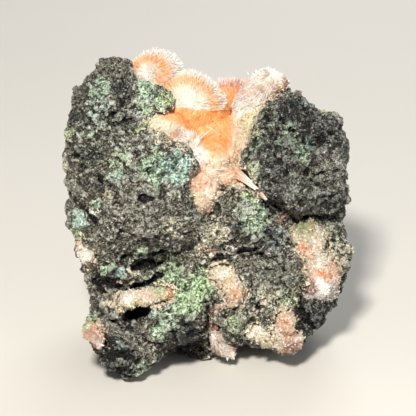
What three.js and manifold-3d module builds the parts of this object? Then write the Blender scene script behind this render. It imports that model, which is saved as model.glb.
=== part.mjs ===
// A hand specimen of orange thomsonite and white mesolite in a pocket of dark basalt, which stands on its
// broken base. Millimetres. Every piece is laid out as the broken face is seen square on: x across, y up the
// face, z out of it. The whole then leans back by LEAN and stands on the table, the plane z = 0 of the part.
import * as THREE from "three";
import { ImprovedNoise } from "three/addons/math/ImprovedNoise.js";
import { mergeVertices } from "three/addons/utils/BufferGeometryUtils.js";
import Module from "manifold-3d";

const wasm = await Module();
wasm.setup();

const LEAN = THREE.MathUtils.degToRad(22);
const TABLE_DROP = 46.6; // from the middle of the face to the table, measured square to the table
const AIR = 0.35; // between crystals and the stone that they grew on

// The basalt: masses that run into each other, the outline that they broke to, and how its surface strays.
const STONE = { centre: [0, -1, -4], stretch: [1, 1.15, 0.72], reach: 95, detail: 12, blend: 7 };
const STONE_MASSES = [
  { name: "heart", at: [0, 0, -10], reach: [46, 46, 28], block: 3 },
  { name: "left block", at: [-26, 24, 1], reach: [27, 34, 25], block: 3.6 },
  { name: "left block's swell", at: [-24, 8, 7], reach: [24, 22, 22], block: 3 },
  { name: "lower left ledges", at: [-24, -25, 4], reach: [20, 20, 20], block: 3.4 },
  { name: "left foot", at: [-26, -46, 11], reach: [15, 17, 15], block: 3 },
  { name: "middle slope", at: [0, -22, 4], reach: [18, 21, 19], block: 3 },
  { name: "foot behind the arch", at: [-3, -42, -6], reach: [14, 12, 13], block: 3 },
  { name: "right foot", at: [22, -30, -4], reach: [24, 18, 21], block: 3.4 },
  { name: "far right cheek", at: [39, -13, -9], reach: [15, 20, 20], block: 3.4 },
  { name: "middle knob", at: [14, -3, 5], reach: [16, 13, 18], block: 2.8 },
  { name: "right block", at: [31, 20, 1], reach: [22, 20, 23], block: 3.6 },
  { name: "right block's peak", at: [29, 35, -6], reach: [12, 14, 15], block: 2.8 },
];
const STONE_OUTLINE = [
  [-24, 55], [-31.9, 57.2], [-37.1, 56], [-39.9, 51.8], [-45.5, 46.6], [-48, 41], [-48, 35], [-50.6, 30],
  [-50, 18], [-48, 4.6], [-48.5, 0], [-44.8, -13], [-40.6, -25.2], [-39.8, -31], [-42, -36.4],
  [-40.3, -44.5], [-34.7, -52.5], [-25.6, -59.2], [-20.5, -57.5], [-16.1, -49], [-11, -46.5], [-5.6, -48.5],
  [-2.1, -50.4], [5.6, -48.7], [11.5, -44.5], [20, -45], [29.4, -47.6], [36.4, -41], [43.4, -33.3],
  [47, -25.2], [51.8, -15.4], [51.6, -9.5], [47.6, 0], [50.4, 7.5], [49.2, 15], [50.4, 25.6], [48, 33.6],
  [37.5, 38.2], [34.3, 44.1], [30.1, 45.7], [28.2, 48.5], [24, 46.5], [13, 45.5], [0, 46], [-12, 50],
];
const SIDES = { inset: 0.8, middle: 0, bulge: 0.005 }; // they draw in with the square of the depth
const BACK = { at: [0, 0, -37], facing: [0.08, 0.14, -1] };
const LEDGES = { size: 14, height: 4, tilt: 0.4, onSides: 0.35, onBack: 0.6 };
const LUMPS = { size: 6, height: 2 };

// Where the blocks part: lines across the face along which the stone is set back.
const GROOVES = [
  { name: "left block's edge", line: [[1, 2], [-3, -5], [-9, -11]], wide: 3.5, deep: 4 },
  { name: "under left block", line: [[-9, -11], [-19, -17], [-31, -18], [-43, -15]], wide: 3, deep: 2.5 },
  { name: "below the right block", line: [[19, 8], [25, 3], [31, -2], [40, 0], [50, 1]], wide: 4, deep: 5 },
  { name: "below the knob", line: [[2, -12], [13, -16], [24, -14], [30, -4]], wide: 3.5, deep: 3 },
  { name: "seam above the arch", line: [[2, -29], [3, -37], [4, -48]], wide: 3, deep: 3 },
  { name: "beside the right pocket", line: [[31, -26], [33, -34], [38, -40]], wide: 4, deep: 3 },
];

// Holes left by gas, and the gaps that the stone broke back to, each with its middle at a depth in the stone.
const HOLES = [
  { name: "upper gas hole", at: [-12, -15.5], reach: [4.8, 3.4, 8], turn: 8, depth: 0, detail: 2 },
  { name: "lower gas hole", at: [-24, -32.5], reach: [5.6, 3.2, 9], turn: 22, depth: 0, detail: 2 },
  { name: "crack below the left block", at: [-25, -23], reach: [8, 2, 7], turn: -10, depth: 0, detail: 2 },
  { name: "recess by the right block", at: [25.5, 1], reach: [5, 3.6, 7], turn: -40, depth: 1, detail: 2 },
  { name: "under the arch", at: [-4.5, -48.5], reach: [9.5, 6.5, 16], turn: 4, depth: -14, detail: 2 },
];

// The pocket, as an outline across the face, and how far back into the stone it goes.
const POCKET = { floor: -20, mouth: 60 };
const POCKET_OUTLINE = [
  [-26, 80], [-24.9, 52.3], [-25.7, 48.2], [-24.1, 46.2], [-18.1, 46.2], [-14, 45], [-10.5, 42],
  [-11.2, 37.4], [-17.6, 34.6], [-21.7, 31.4], [-17.3, 30.6], [-14.4, 28.1], [-13.7, 26.1], [-8.4, 25.3],
  [-5.6, 22.1], [-1.9, 18.5], [-4, 15.3], [-5.6, 10.5], [-3.6, 3.4], [-0.8, 3.1], [3.2, 6.4], [4, 9.4],
  [7.7, 10.9], [10.1, 12.1], [17.6, 9.4], [18.3, 11.3], [13.7, 15.3], [10.5, 17.7], [11.3, 21.4], [14.7, 28.9],
  [16.1, 32.4], [18.7, 36.6], [19.7, 39.8], [23.7, 41], [25.6, 44.2], [28.2, 47.6], [28.6, 80],
];

// What lines the pocket, grown together as one crust: balls of radiating thomsonite, the broken crust below
// them and the right wing. Mesolite needles stand round the balls as rims.
const CRUST = { centre: [2, 30, -14], stretch: [1, 1, 0.9], reach: 60, detail: 7, blend: 3 };
const CRUST_LUMPS = { size: 5, height: 1.2 };
const CRUST_MASSES = [
  { name: "left ball", at: [-17.5, 49, 3], reach: [9, 8.2, 11], block: 2 },
  { name: "middle ball", at: [-5.5, 38.4, 5.5], reach: [13, 11.2, 12], block: 2 },
  { name: "back ball", at: [8.5, 38.6, -5], reach: [9.5, 9.6, 9], block: 2 },
  { name: "wing's top", at: [21.8, 45.6, -1], reach: [6.8, 6.4, 9], block: 2.2 },
  { name: "wing", at: [16, 37.5, 2.5], reach: [6.2, 9.2, 9.2], block: 2.4 },
  { name: "right edge", at: [12.5, 24, 7], reach: [5, 9, 9.5], block: 2.4 },
  { name: "left arm", at: [-15, 31, 13], reach: [9, 5, 10.5], block: 2.2 },
  { name: "bowl", at: [-2, 29, 4.5], reach: [14.4, 9, 10.8], block: 2.4 },
  { name: "lower crust", at: [1, 18, 10.5], reach: [8, 9, 11.5], block: 2.4 },
  { name: "tail", at: [-1.5, 9, 14.5], reach: [6, 8, 10], block: 2.4 },
  { name: "ledge", at: [13, 12.4, 14], reach: [9, 4.5, 9], block: 2.4 },
  { name: "floor", at: [3, 25, -14], reach: [23, 19, 9], block: 3 },
];
const RIMS = [
  { at: [-17.5, 49, 3], radius: 7.6, from: -5, to: 160, needles: 16 },
  { at: [-5.8, 38.4, 6], radius: 11.4, from: -18, to: 125, needles: 22 },
  { at: [8, 39, -4], radius: 8.6, from: 40, to: 125, needles: 9 },
  { at: [15, 38, 0], radius: 12, from: 38, to: 96, needles: 11 },
];
const NEEDLE = { thick: 1.5, tip: 0.3, long: 3.4, buried: 3, sides: 3, slants: [-14, 16, 0] };

// Smaller pockets, each filled by lumps of thomsonite that grew together, with their middles at a depth below
// the surface.
const FILLINGS = [
  {
    name: "thomsonite_right_pocket",
    lumps: [
      { at: [35.4, -8.8], reach: [6.2, 8.4, 5], turn: 0, depth: 3.2, detail: 1 },
      { at: [39.6, -20.5], reach: [6, 8.6, 5.4], turn: 14, depth: 3.2, detail: 1 },
    ],
  },
  {
    name: "thomsonite_right_foot",
    lumps: [
      { at: [20.5, -39.2], reach: [6.4, 3.2, 4.4], turn: -8, depth: 2.8, detail: 1 },
      { at: [27, -36.4], reach: [4, 5, 4.8], turn: 0, depth: 3, detail: 1 },
      { at: [28.6, -42.6], reach: [4.2, 4, 4.6], turn: 20, depth: 3, detail: 1 },
    ],
  },
  {
    name: "thomsonite_mid_pocket",
    lumps: [
      { at: [5.6, -19.6], reach: [4.4, 3, 4], turn: -25, depth: 2.4, detail: 1 },
      { at: [9.3, -24.6], reach: [3.6, 6, 4.6], turn: 18, depth: 2.8, detail: 1 },
    ],
  },
  {
    name: "thomsonite_ledge",
    lumps: [
      { at: [-26, -27.8], reach: [4.4, 2.9, 4.2], turn: 28, depth: 2.4, detail: 1 },
      { at: [-19.6, -26.6], reach: [5, 2.7, 4], turn: 10, depth: 2.4, detail: 1 },
      { at: [-14.2, -25.8], reach: [3.6, 2.1, 3.6], turn: 5, depth: 2.2, detail: 1 },
    ],
  },
  {
    name: "thomsonite_left_edge",
    lumps: [{ at: [-41, -11.5], reach: [2.9, 4.8, 5], turn: 12, depth: 2.6, detail: 1 }],
  },
  {
    name: "thomsonite_left_foot",
    lumps: [{ at: [-37.8, -39.4], reach: [2.9, 5.4, 5], turn: 34, depth: 3, detail: 1 }],
  },
  {
    name: "thomsonite_arch_seam",
    lumps: [
      { at: [2.9, -38.4], reach: [2, 4.8, 4.4], turn: 5, depth: 2.4, detail: 1 },
      { at: [6.2, -44.6], reach: [5, 2.9, 5], turn: -38, depth: 2.4, detail: 1 },
    ],
  },
];
const ROUGH_LUMP = { size: 3.2, share: 0.32 };

const BALL_TURN = 0.37; // keeps rows of triangles from lying level
const noise = new ImprovedNoise();
const random = THREE.MathUtils.seededRandom;

// How far a point is inside a mass, in millimetres: below zero outside it.
function depthInMass(point, { at, reach, block }) {
  const away = reach.map((size, k) => Math.abs((point.getComponent(k) - at[k]) / size) ** block);
  return (1 - (away[0] + away[1] + away[2]) ** (1 / block)) * Math.min(...reach);
}

// How far a point is inside masses that run into each other over the distance of the blend.
function depthInMasses(point, masses, blend) {
  return masses
    .map((mass) => depthInMass(point, mass))
    .reduce((a, b) => Math.max(a, b) + Math.max(0, blend - Math.abs(a - b)) ** 2 / (4 * blend));
}

function depthBehindPlane(point, { at, facing }) {
  const outward = new THREE.Vector3(...facing).normalize();
  return outward.dot(new THREE.Vector3(...at).sub(point));
}

function distanceToSegment({ x, y }, [ax, ay], [bx, by]) {
  const length2 = (bx - ax) ** 2 + (by - ay) ** 2;
  const along = THREE.MathUtils.clamp(((x - ax) * (bx - ax) + (y - ay) * (by - ay)) / length2, 0, 1);
  return Math.hypot(x - ax - along * (bx - ax), y - ay - along * (by - ay));
}

// How far a point is inside an outline on the face, whatever its depth: below zero outside it.
function depthInOutline(point, outline) {
  let nearest = Infinity;
  let inside = false;
  outline.forEach(([ax, ay], i) => {
    const [bx, by] = outline.at(i - 1);
    const crossing = ax + ((bx - ax) * (point.y - ay)) / (by - ay);
    if (ay > point.y !== by > point.y && point.x < crossing) inside = !inside;
    nearest = Math.min(nearest, distanceToSegment(point, [ax, ay], [bx, by]));
  });
  return inside ? nearest : -nearest;
}

function depthOfGrooves(point) {
  return THREE.MathUtils.smoothstep(point.z, -5, 10) * Math.max(
    ...GROOVES.map(({ line, wide, deep }) => {
      const away = Math.min(...line.slice(1).map((end, i) => distanceToSegment(point, line[i], end)));
      return deep * Math.exp(-((away / wide) ** 2));
    }),
  );
}

function unevenness(point, { size, height }) {
  return height * noise.noise(point.x / size, point.y / size, point.z / size);
}

// Blocks of stone that each broke at their own height and slant.
function ledges(point) {
  const cell = point.clone().divideScalar(LEDGES.size);
  const base = cell.clone().floor();
  let best = { distance: Infinity };
  for (let k = 0; k < 27; k++) {
    const x = base.x + (k % 3) - 1;
    const y = base.y + (Math.floor(k / 3) % 3) - 1;
    const z = base.z + Math.floor(k / 9) - 1;
    const seed = x * 131 + y * 577 + z * 1013;
    const middle = new THREE.Vector3(x + random(seed), y + random(seed + 0.3), z + random(seed + 0.6));
    const distance = middle.distanceToSquared(cell);
    if (distance < best.distance) best = { distance, middle, seed };
  }
  const offset = cell.sub(best.middle).multiplyScalar(LEDGES.size);
  const slant = new THREE.Vector3(...[10, 20, 30].map((k) => random(best.seed + k) - 0.5));
  return LEDGES.height * (random(best.seed + 5) - 0.5) + LEDGES.tilt * slant.dot(offset);
}

function stoneField(point) {
  const broken = ledges(point);
  const inset = SIDES.inset + SIDES.bulge * (point.z - SIDES.middle) ** 2;
  const body = depthInMasses(point, STONE_MASSES, STONE.blend) - depthOfGrooves(point) + broken;
  const sides = depthInOutline(point, STONE_OUTLINE) - inset + LEDGES.onSides * broken;
  const back = depthBehindPlane(point, BACK) + LEDGES.onBack * broken;
  return Math.min(body, sides, back) + unevenness(point, LUMPS);
}

function crustField(point) {
  return depthInMasses(point, CRUST_MASSES, CRUST.blend) + unevenness(point, CRUST_LUMPS);
}

// A sphere of triangles whose corners are pushed along their own rays to the outermost surface of a field.
// The stretch turns rays towards the far ends, which keeps the triangles there from growing large.
function ballTo(field, { centre, stretch, reach, detail }) {
  const ball = new THREE.IcosahedronGeometry(1, detail).rotateX(BALL_TURN).rotateZ(BALL_TURN);
  ball.deleteAttribute("normal");
  ball.deleteAttribute("uv");
  const merged = mergeVertices(ball, 1e-4);
  const corners = merged.getAttribute("position");
  const middle = new THREE.Vector3(...centre);
  const stretched = new THREE.Vector3(...stretch);
  const step = reach / 150;
  const ray = new THREE.Vector3();
  const point = new THREE.Vector3();
  const fieldAt = (distance) => field(point.copy(ray).multiplyScalar(distance).add(middle));
  for (let i = 0; i < corners.count; i++) {
    ray.fromBufferAttribute(corners, i).multiply(stretched).normalize();
    let outer = reach;
    while (outer > step && fieldAt(outer - step) < 0) outer -= step;
    let inner = outer - step;
    for (let halving = 0; halving < 12; halving++) {
      const half = (inner + outer) / 2;
      if (fieldAt(half) < 0) outer = half;
      else inner = half;
    }
    point.copy(ray).multiplyScalar(inner).add(middle);
    corners.setXYZ(i, point.x, point.y, point.z);
  }
  return merged;
}

// How far out of the face the stone reaches at a place on it.
function frontOfStone(x, y) {
  const point = new THREE.Vector3(x, y, STONE.reach);
  while (point.z > 0 && stoneField(point) < 0) point.z -= 0.1;
  return point.z;
}

// A rough lump, grown by a margin, for a hole or for what fills it.
function lump({ at, reach, turn, depth, detail }, margin) {
  const mass = { at: [0, 0, 0], reach: reach.map((size) => size + margin), block: 2.3 };
  const place = new THREE.Vector3(at[0], at[1], frontOfStone(...at) - depth);
  const rough = { size: ROUGH_LUMP.size, height: ROUGH_LUMP.share * Math.min(...reach) };
  const field = (point) => depthInMass(point, mass) + unevenness(point.clone().add(place), rough);
  return ballTo(field, { centre: [0, 0, 0], stretch: reach, reach: 2 * Math.max(...mass.reach), detail })
    .rotateZ(THREE.MathUtils.degToRad(turn))
    .translate(...place);
}

function solidOf(geometry) {
  const bare = geometry.clone();
  bare.deleteAttribute("normal");
  bare.deleteAttribute("uv");
  const closed = mergeVertices(bare, 1e-4);
  return new wasm.Manifold(
    new wasm.Mesh({
      numProp: 3,
      vertProperties: closed.getAttribute("position").array,
      triVerts: new Uint32Array(closed.index.array),
    }),
  );
}

function geometryOf(solid) {
  const mesh = solid.getMesh();
  const geometry = new THREE.BufferGeometry();
  geometry.setAttribute("position", new THREE.BufferAttribute(mesh.vertProperties, 3));
  geometry.setIndex(new THREE.BufferAttribute(mesh.triVerts, 1));
  geometry.computeVertexNormals();
  return geometry;
}

// Turns a piece from the frame of the face to the frame in which the specimen stands on the table.
const standing = new THREE.Matrix4()
  .makeTranslation(0, 0, TABLE_DROP)
  .multiply(new THREE.Matrix4().makeRotationX(Math.PI / 2 - LEAN));

function standingSolid(geometry) {
  return solidOf(geometry.clone().applyMatrix4(standing));
}

// The room of the pocket, drawn in on every side by a margin.
function pocketRoom(margin) {
  const outline = POCKET_OUTLINE.map((corner, i) => {
    const here = new THREE.Vector2(...corner);
    const before = new THREE.Vector2(...POCKET_OUTLINE.at(i - 1));
    const after = new THREE.Vector2(...POCKET_OUTLINE[(i + 1) % POCKET_OUTLINE.length]);
    const [first, second] = [here.clone().sub(before), after.sub(here)].map((edge) =>
      new THREE.Vector2(-edge.y, edge.x).normalize(),
    );
    const middle = first.clone().add(second).normalize();
    return here.addScaledVector(middle, margin * Math.min(2, 1 / Math.max(0.3, middle.dot(first))));
  });
  const floor = POCKET.floor + margin;
  const extent = { depth: POCKET.mouth - floor, bevelEnabled: false, steps: 1 };
  return new THREE.ExtrudeGeometry(new THREE.Shape(outline), extent).translate(0, 0, floor);
}

// A needle from one point to another: a slim prism with a blunt tip.
function needleBetween(from, to, thick) {
  const along = to.clone().sub(from);
  const upright = new THREE.Vector3(0, 1, 0);
  const turn = new THREE.Quaternion().setFromUnitVectors(upright, along.clone().normalize());
  return new THREE.CylinderGeometry(NEEDLE.tip * thick, thick, along.length(), NEEDLE.sides, 1)
    .translate(0, along.length() / 2, 0)
    .applyQuaternion(turn)
    .translate(...from);
}

// The needles that stand round one ball and fan out to its front and back.
function rimNeedles({ at, radius, from, to, needles }) {
  const middle = new THREE.Vector3(...at);
  return Array.from({ length: needles }, (_, k) => {
    const seed = k + 7 * radius;
    const share = (k + 0.5 + 0.3 * (random(seed) - 0.5)) / needles;
    const angle = THREE.MathUtils.degToRad(from + (to - from) * share);
    const slant = THREE.MathUtils.degToRad(NEEDLE.slants[k % NEEDLE.slants.length]);
    const out = new THREE.Vector3(Math.cos(angle), Math.sin(angle), Math.sin(slant)).normalize();
    const tip = radius + NEEDLE.long * (0.7 + 0.5 * random(seed + 0.5));
    const foot = middle.clone().addScaledVector(out, radius - NEEDLE.buried);
    return needleBetween(foot, middle.clone().addScaledVector(out, tip), NEEDLE.thick);
  });
}

const tableTop = solidOf(new THREE.BoxGeometry(300, 300, 100).translate(0, 0, -50));
const largestBody = (solid) => solid.decompose().sort((a, b) => b.volume() - a.volume())[0];

let stone = standingSolid(ballTo(stoneField, STONE)).subtract(tableTop);
stone = stone.subtract(standingSolid(pocketRoom(0)));
for (const hole of HOLES) stone = stone.subtract(standingSolid(lump(hole, 0)));

const needles = RIMS.flatMap(rimNeedles).map(standingSolid);
const crust = wasm.Manifold.union([standingSolid(ballTo(crustField, CRUST)), ...needles]).intersect(
  standingSolid(pocketRoom(AIR)),
);

function piece(name, solid, colour, roughness) {
  const material = new THREE.MeshStandardMaterial({ color: colour, roughness, metalness: 0 });
  const mesh = new THREE.Mesh(geometryOf(solid), material);
  mesh.name = name;
  return mesh;
}

const specimen = new THREE.Group();
for (const { name, lumps } of FILLINGS) {
  const grown = (margin) => wasm.Manifold.union(lumps.map((one) => standingSolid(lump(one, margin))));
  stone = stone.subtract(grown(AIR));
  specimen.add(piece(name, largestBody(grown(0).subtract(tableTop)), "#e8c3a4", 0.7));
}
specimen.add(piece("thomsonite_mesolite_crust", largestBody(crust), "#f2a06a", 0.6));
specimen.add(piece("basalt_matrix", largestBody(stone), "#4a4d47", 0.9));

const extent = new THREE.Box3().setFromObject(specimen);
specimen.position.copy(extent.getCenter(new THREE.Vector3()).negate()).setZ(0);

export default specimen;
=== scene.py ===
import math

import bpy
import numpy as np
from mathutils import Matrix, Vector, noise
from mathutils.bvhtree import BVHTree
from mathutils.kdtree import KDTree


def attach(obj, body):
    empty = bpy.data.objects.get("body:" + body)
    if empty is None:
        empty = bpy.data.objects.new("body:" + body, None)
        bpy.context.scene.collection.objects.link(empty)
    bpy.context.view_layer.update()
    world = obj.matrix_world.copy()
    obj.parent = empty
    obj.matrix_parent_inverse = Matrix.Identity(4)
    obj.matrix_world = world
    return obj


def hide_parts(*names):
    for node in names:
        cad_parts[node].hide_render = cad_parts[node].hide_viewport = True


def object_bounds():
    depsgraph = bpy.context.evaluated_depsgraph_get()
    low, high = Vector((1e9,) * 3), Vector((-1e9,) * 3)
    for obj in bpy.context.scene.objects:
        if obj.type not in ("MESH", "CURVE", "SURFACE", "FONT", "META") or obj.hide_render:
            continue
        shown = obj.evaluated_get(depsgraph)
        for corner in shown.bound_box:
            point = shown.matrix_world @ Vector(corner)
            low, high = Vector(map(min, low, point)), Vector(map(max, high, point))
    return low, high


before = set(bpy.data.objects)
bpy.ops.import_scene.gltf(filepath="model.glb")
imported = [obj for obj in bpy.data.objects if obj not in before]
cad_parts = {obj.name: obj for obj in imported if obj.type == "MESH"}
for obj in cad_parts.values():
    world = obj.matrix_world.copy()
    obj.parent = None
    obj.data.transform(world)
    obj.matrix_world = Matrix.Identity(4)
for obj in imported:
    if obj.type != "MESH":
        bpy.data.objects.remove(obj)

cadLow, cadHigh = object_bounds()
mm = 0.001
seed = 11
random = np.random.default_rng(seed)
noise.seed_set(seed)  # noise_vector would start from the time of day without it


# The broken face

# The places below are read on the broken face, seen square on: x across, y up the face, z out of it, in
# millimetres from its middle. The specimen leans back, so these turn a place there into one on the table.
leanBack = math.radians(22)
faceMiddle = np.array((-0.453, 0.536, 46.6))


def fromFace(places):
    x, y, z = np.asarray(places, float).reshape(-1, 3).T
    up, out = math.cos(leanBack), math.sin(leanBack)
    return (np.column_stack((x, out * y - up * z, up * y + out * z)) + faceMiddle) * mm


def toFace(points):
    x, y, z = (np.asarray(points, float) / mm - faceMiddle).T
    up, out = math.cos(leanBack), math.sin(leanBack)
    return np.column_stack((x, out * y + up * z, out * z - up * y))


# Colours

def linear(hexCode):
    parts = np.array([int(hexCode[k:k + 2], 16) / 255 for k in (1, 3, 5)])
    return np.where(parts <= 0.04045, parts / 12.92, ((parts + 0.055) / 1.055) ** 2.4)


def along(stops, amounts):  # the colour at each amount, between stops of (amount, colour)
    places = [place for place, _ in stops]
    colours = np.array([linear(hexCode) for _, hexCode in stops])
    return np.column_stack([np.interp(amounts, places, colours[:, k]) for k in range(3)])


# Pieces and their meshes

def only(*pieces):
    bpy.ops.object.select_all(action="DESELECT")
    for piece in pieces:
        piece.select_set(True)
    bpy.context.view_layer.objects.active = pieces[0]


def copyOfNode(node, name):  # the node's own mesh stays as it is; its copy is merged into one skin
    piece = bpy.data.objects.new(name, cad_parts[node].data.copy())
    bpy.context.collection.objects.link(piece)
    only(piece)
    bpy.ops.object.mode_set(mode="EDIT")
    bpy.ops.mesh.select_all(action="SELECT")
    bpy.ops.mesh.remove_doubles(threshold=0.002 * mm)
    bpy.ops.object.mode_set(mode="OBJECT")
    return piece


def finishWith(piece, kind, **settings):  # a modifier, applied
    modifier = piece.modifiers.new(kind, kind)
    for key, value in settings.items():
        setattr(modifier, key, value)
    only(piece)
    bpy.ops.object.modifier_apply(modifier=modifier.name)


def oneSkin(piece, settings):  # a single closed skin of even faces
    finishWith(piece, "REMESH", mode="VOXEL", voxel_size=settings["voxel"] * mm, use_smooth_shade=False)
    finishWith(piece, "SMOOTH", factor=0.5, iterations=settings["smoothing"])


def pointsOf(piece):
    points = np.empty(3 * len(piece.data.vertices), np.float32)
    piece.data.vertices.foreach_get("co", points)
    return points.reshape(-1, 3).astype(float)


def normalsOf(piece):
    normals = np.empty(3 * len(piece.data.vertices), np.float32)
    piece.data.vertices.foreach_get("normal", normals)
    return normals.reshape(-1, 3).astype(float)


def movePoints(piece, points):
    piece.data.vertices.foreach_set("co", points.astype(np.float32).ravel())
    piece.data.update()


def paint(piece, name, values):  # a value or a colour for each corner of a mesh, which materials read
    values = np.asarray(values, np.float32)
    if values.ndim == 2:
        values = np.column_stack((values, np.ones(len(values), np.float32)))
        layer = piece.data.attributes.new(name, "FLOAT_COLOR", "POINT")
        layer.data.foreach_set("color", values.ravel())
    else:
        layer = piece.data.attributes.new(name, "FLOAT", "POINT")
        layer.data.foreach_set("value", values)


def roughen(piece, name, layer, group=""):  # one layer of relief: how coarse it is, and how high
    texture = bpy.data.textures.new(name, "CLOUDS")
    texture.noise_basis = layer["basis"]
    texture.noise_scale = layer["size"] * mm
    texture.noise_depth = layer.get("depth", 0)
    height, middle = layer["height"] * mm, layer.get("middle", 0.5)
    finishWith(piece, "DISPLACE", texture=texture, strength=height, mid_level=middle, vertex_group=group)


def weigh(piece, name, weights, steps=20):
    group = piece.vertex_groups.new(name=name)
    levels = np.round(np.clip(weights, 0, 1) * steps).astype(int)
    for level in range(1, steps + 1):
        group.add(np.flatnonzero(levels == level).tolist(), level / steps, "REPLACE")


def keepInBox(piece):  # all of it inside the solid model's box
    margin = 0.02 * mm
    points = pointsOf(piece)
    movePoints(piece, np.clip(points, np.array(cadLow) + (margin, margin, 0), np.array(cadHigh) - margin))


def smoothstep(values, low, high):
    share = np.clip((values - low) / (high - low), 0, 1)
    return share * share * (3 - 2 * share)


def unit(ways):
    return ways / np.linalg.norm(ways, axis=1, keepdims=True)


def shadeFlat(piece):
    only(piece)
    bpy.ops.object.shade_flat()


def shadeSmooth(piece, degrees):
    only(piece)
    bpy.ops.object.shade_smooth_by_angle(angle=math.radians(degrees))


# A shape that is modelled once and then stands in many copies, from a root to a tip

def modelled(piece):  # corners and triangles, with the foot at z = 0 and the tip at z = 1
    only(piece)
    bpy.ops.object.mode_set(mode="EDIT")
    bpy.ops.mesh.select_all(action="SELECT")
    bpy.ops.mesh.quads_convert_to_tris()
    bpy.ops.object.mode_set(mode="OBJECT")
    corners = pointsOf(piece)
    triangles = np.array([face.vertices[:] for face in piece.data.polygons])
    bpy.data.objects.remove(piece)
    return corners, triangles


def needleShape(sides, tip):
    bpy.ops.mesh.primitive_cone_add(vertices=sides, radius1=1, radius2=tip, depth=1, location=(0, 0, 0.5))
    bpy.ops.object.transform_apply()
    return modelled(bpy.context.object)


def chipShape():  # a small broken crystal: a block with its top drawn in, pushed to one side and slanted
    bpy.ops.mesh.primitive_cube_add(size=1, location=(0, 0, 0.5))
    bpy.ops.object.transform_apply()
    piece = bpy.context.object
    narrow, push, slant = (0.6, 0.75), (0.18, -0.1), 0.25
    for corner in piece.data.vertices:
        if corner.co.z > 0.5:
            corner.co.x = narrow[0] * corner.co.x + push[0]
            corner.co.y = narrow[1] * corner.co.y + push[1]
            corner.co.z -= slant * (corner.co.x + 0.5)
    return modelled(piece)


def plant(name, shape, roots, tips, widths):  # one mesh with a copy of the shape from each root to its tip
    corners, triangles = shape
    roots = np.asarray(roots)
    axes = np.asarray(tips) - roots
    count = len(roots)
    lengths = np.linalg.norm(axes, axis=1, keepdims=True)
    forward = axes / np.maximum(lengths, 1e-9)
    side = unit(np.cross(forward, random.normal(size=(count, 3))))
    other = np.cross(forward, side)
    widths = np.asarray(widths).reshape(count, -1)
    points = (
        roots[:, None]
        + axes[:, None] * corners[None, :, 2:3]
        + side[:, None] * (widths[:, :1] * corners[None, :, 0])[..., None]
        + other[:, None] * (widths[:, -1:] * corners[None, :, 1])[..., None]
    ).reshape(-1, 3)
    faces = (triangles[None] + len(corners) * np.arange(count)[:, None, None]).reshape(-1)
    mesh = bpy.data.meshes.new(name)
    mesh.vertices.add(len(points))
    mesh.vertices.foreach_set("co", points.astype(np.float32).ravel())
    mesh.loops.add(len(faces))
    mesh.loops.foreach_set("vertex_index", faces.astype(np.int32))
    mesh.polygons.add(len(faces) // 3)
    mesh.polygons.foreach_set("loop_start", np.arange(0, len(faces), 3, dtype=np.int32))
    mesh.update(calc_edges=True)
    piece = bpy.data.objects.new(name, mesh)
    bpy.context.collection.objects.link(piece)
    return piece


def perCorner(shape, atRoots, atTips=None):  # a value of each copy, spread over its corners from root to tip
    rise = shape[0][:, 2]
    atTips = atRoots if atTips is None else atTips
    if np.ndim(atRoots) == 1:
        return (atRoots[:, None] * (1 - rise) + atTips[:, None] * rise).reshape(-1)
    return (atRoots[:, None] * (1 - rise)[:, None] + atTips[:, None] * rise[:, None]).reshape(-1, 3)


def scatter(piece, count, weights=None):  # random places on a mesh, with the way out there
    mesh = piece.data
    mesh.calc_loop_triangles()
    triangles = np.empty(3 * len(mesh.loop_triangles), np.int32)
    mesh.loop_triangles.foreach_get("vertices", triangles)
    triangles = triangles.reshape(-1, 3)
    corners = pointsOf(piece)[triangles]
    normals = np.cross(corners[:, 1] - corners[:, 0], corners[:, 2] - corners[:, 0])
    areas = np.linalg.norm(normals, axis=1)
    chance = areas if weights is None else areas * weights[triangles].mean(1)
    chosen = random.choice(len(triangles), count, p=chance / chance.sum())
    a, b = random.random((2, count, 1))
    turned = a + b > 1
    a, b = np.where(turned, 1 - a, a), np.where(turned, 1 - b, b)
    base = corners[chosen]
    places = base[:, 0] + a * (base[:, 1] - base[:, 0]) + b * (base[:, 2] - base[:, 0])
    return places, normals[chosen] / np.maximum(areas[chosen], 1e-12)[:, None]


def tinted(piece, tint, tone):  # faceted, with its colours
    paint(piece, "tint", tint)
    paint(piece, "tone", tone)
    shadeFlat(piece)
    return piece


def growOn(name, shape, places, out, habit):  # small crystals on a surface, each leaning its own way
    count = len(places)
    lean = unit(out + random.normal(0, habit["lean"], (count, 3)))
    sizes = random.uniform(habit["least"], 1.0, count) ** habit["power"] * habit["size"] * mm
    roots = places - lean * sizes[:, None] * habit["sunk"]
    tips = places + lean * sizes[:, None] * habit["tall"]
    if "across" in habit:  # each as wide and as thick as it happens to be
        widths = np.column_stack([sizes * random.uniform(*span, count) for span in habit["across"]])
    else:
        widths = sizes * habit["thick"]
    return plant(name, shape, roots, tips, widths)


# Materials

class Wire:  # a socket that sums and products can be written with
    def __init__(self, finish, socket):
        self.finish = finish
        self.socket = socket

    def math(self, operation, other, turned=False):
        pair = (other, self) if turned else (self, other)
        return self.finish.add("Math", {"operation": operation}, {0: pair[0], 1: pair[1]})

    def __add__(self, other):
        return self.math("ADD", other)

    def __radd__(self, other):
        return self.math("ADD", other, True)

    def __sub__(self, other):
        return self.math("SUBTRACT", other)

    def __rsub__(self, other):
        return self.math("SUBTRACT", other, True)

    def __mul__(self, other):
        return self.math("MULTIPLY", other)

    def __rmul__(self, other):
        return self.math("MULTIPLY", other, True)


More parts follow.
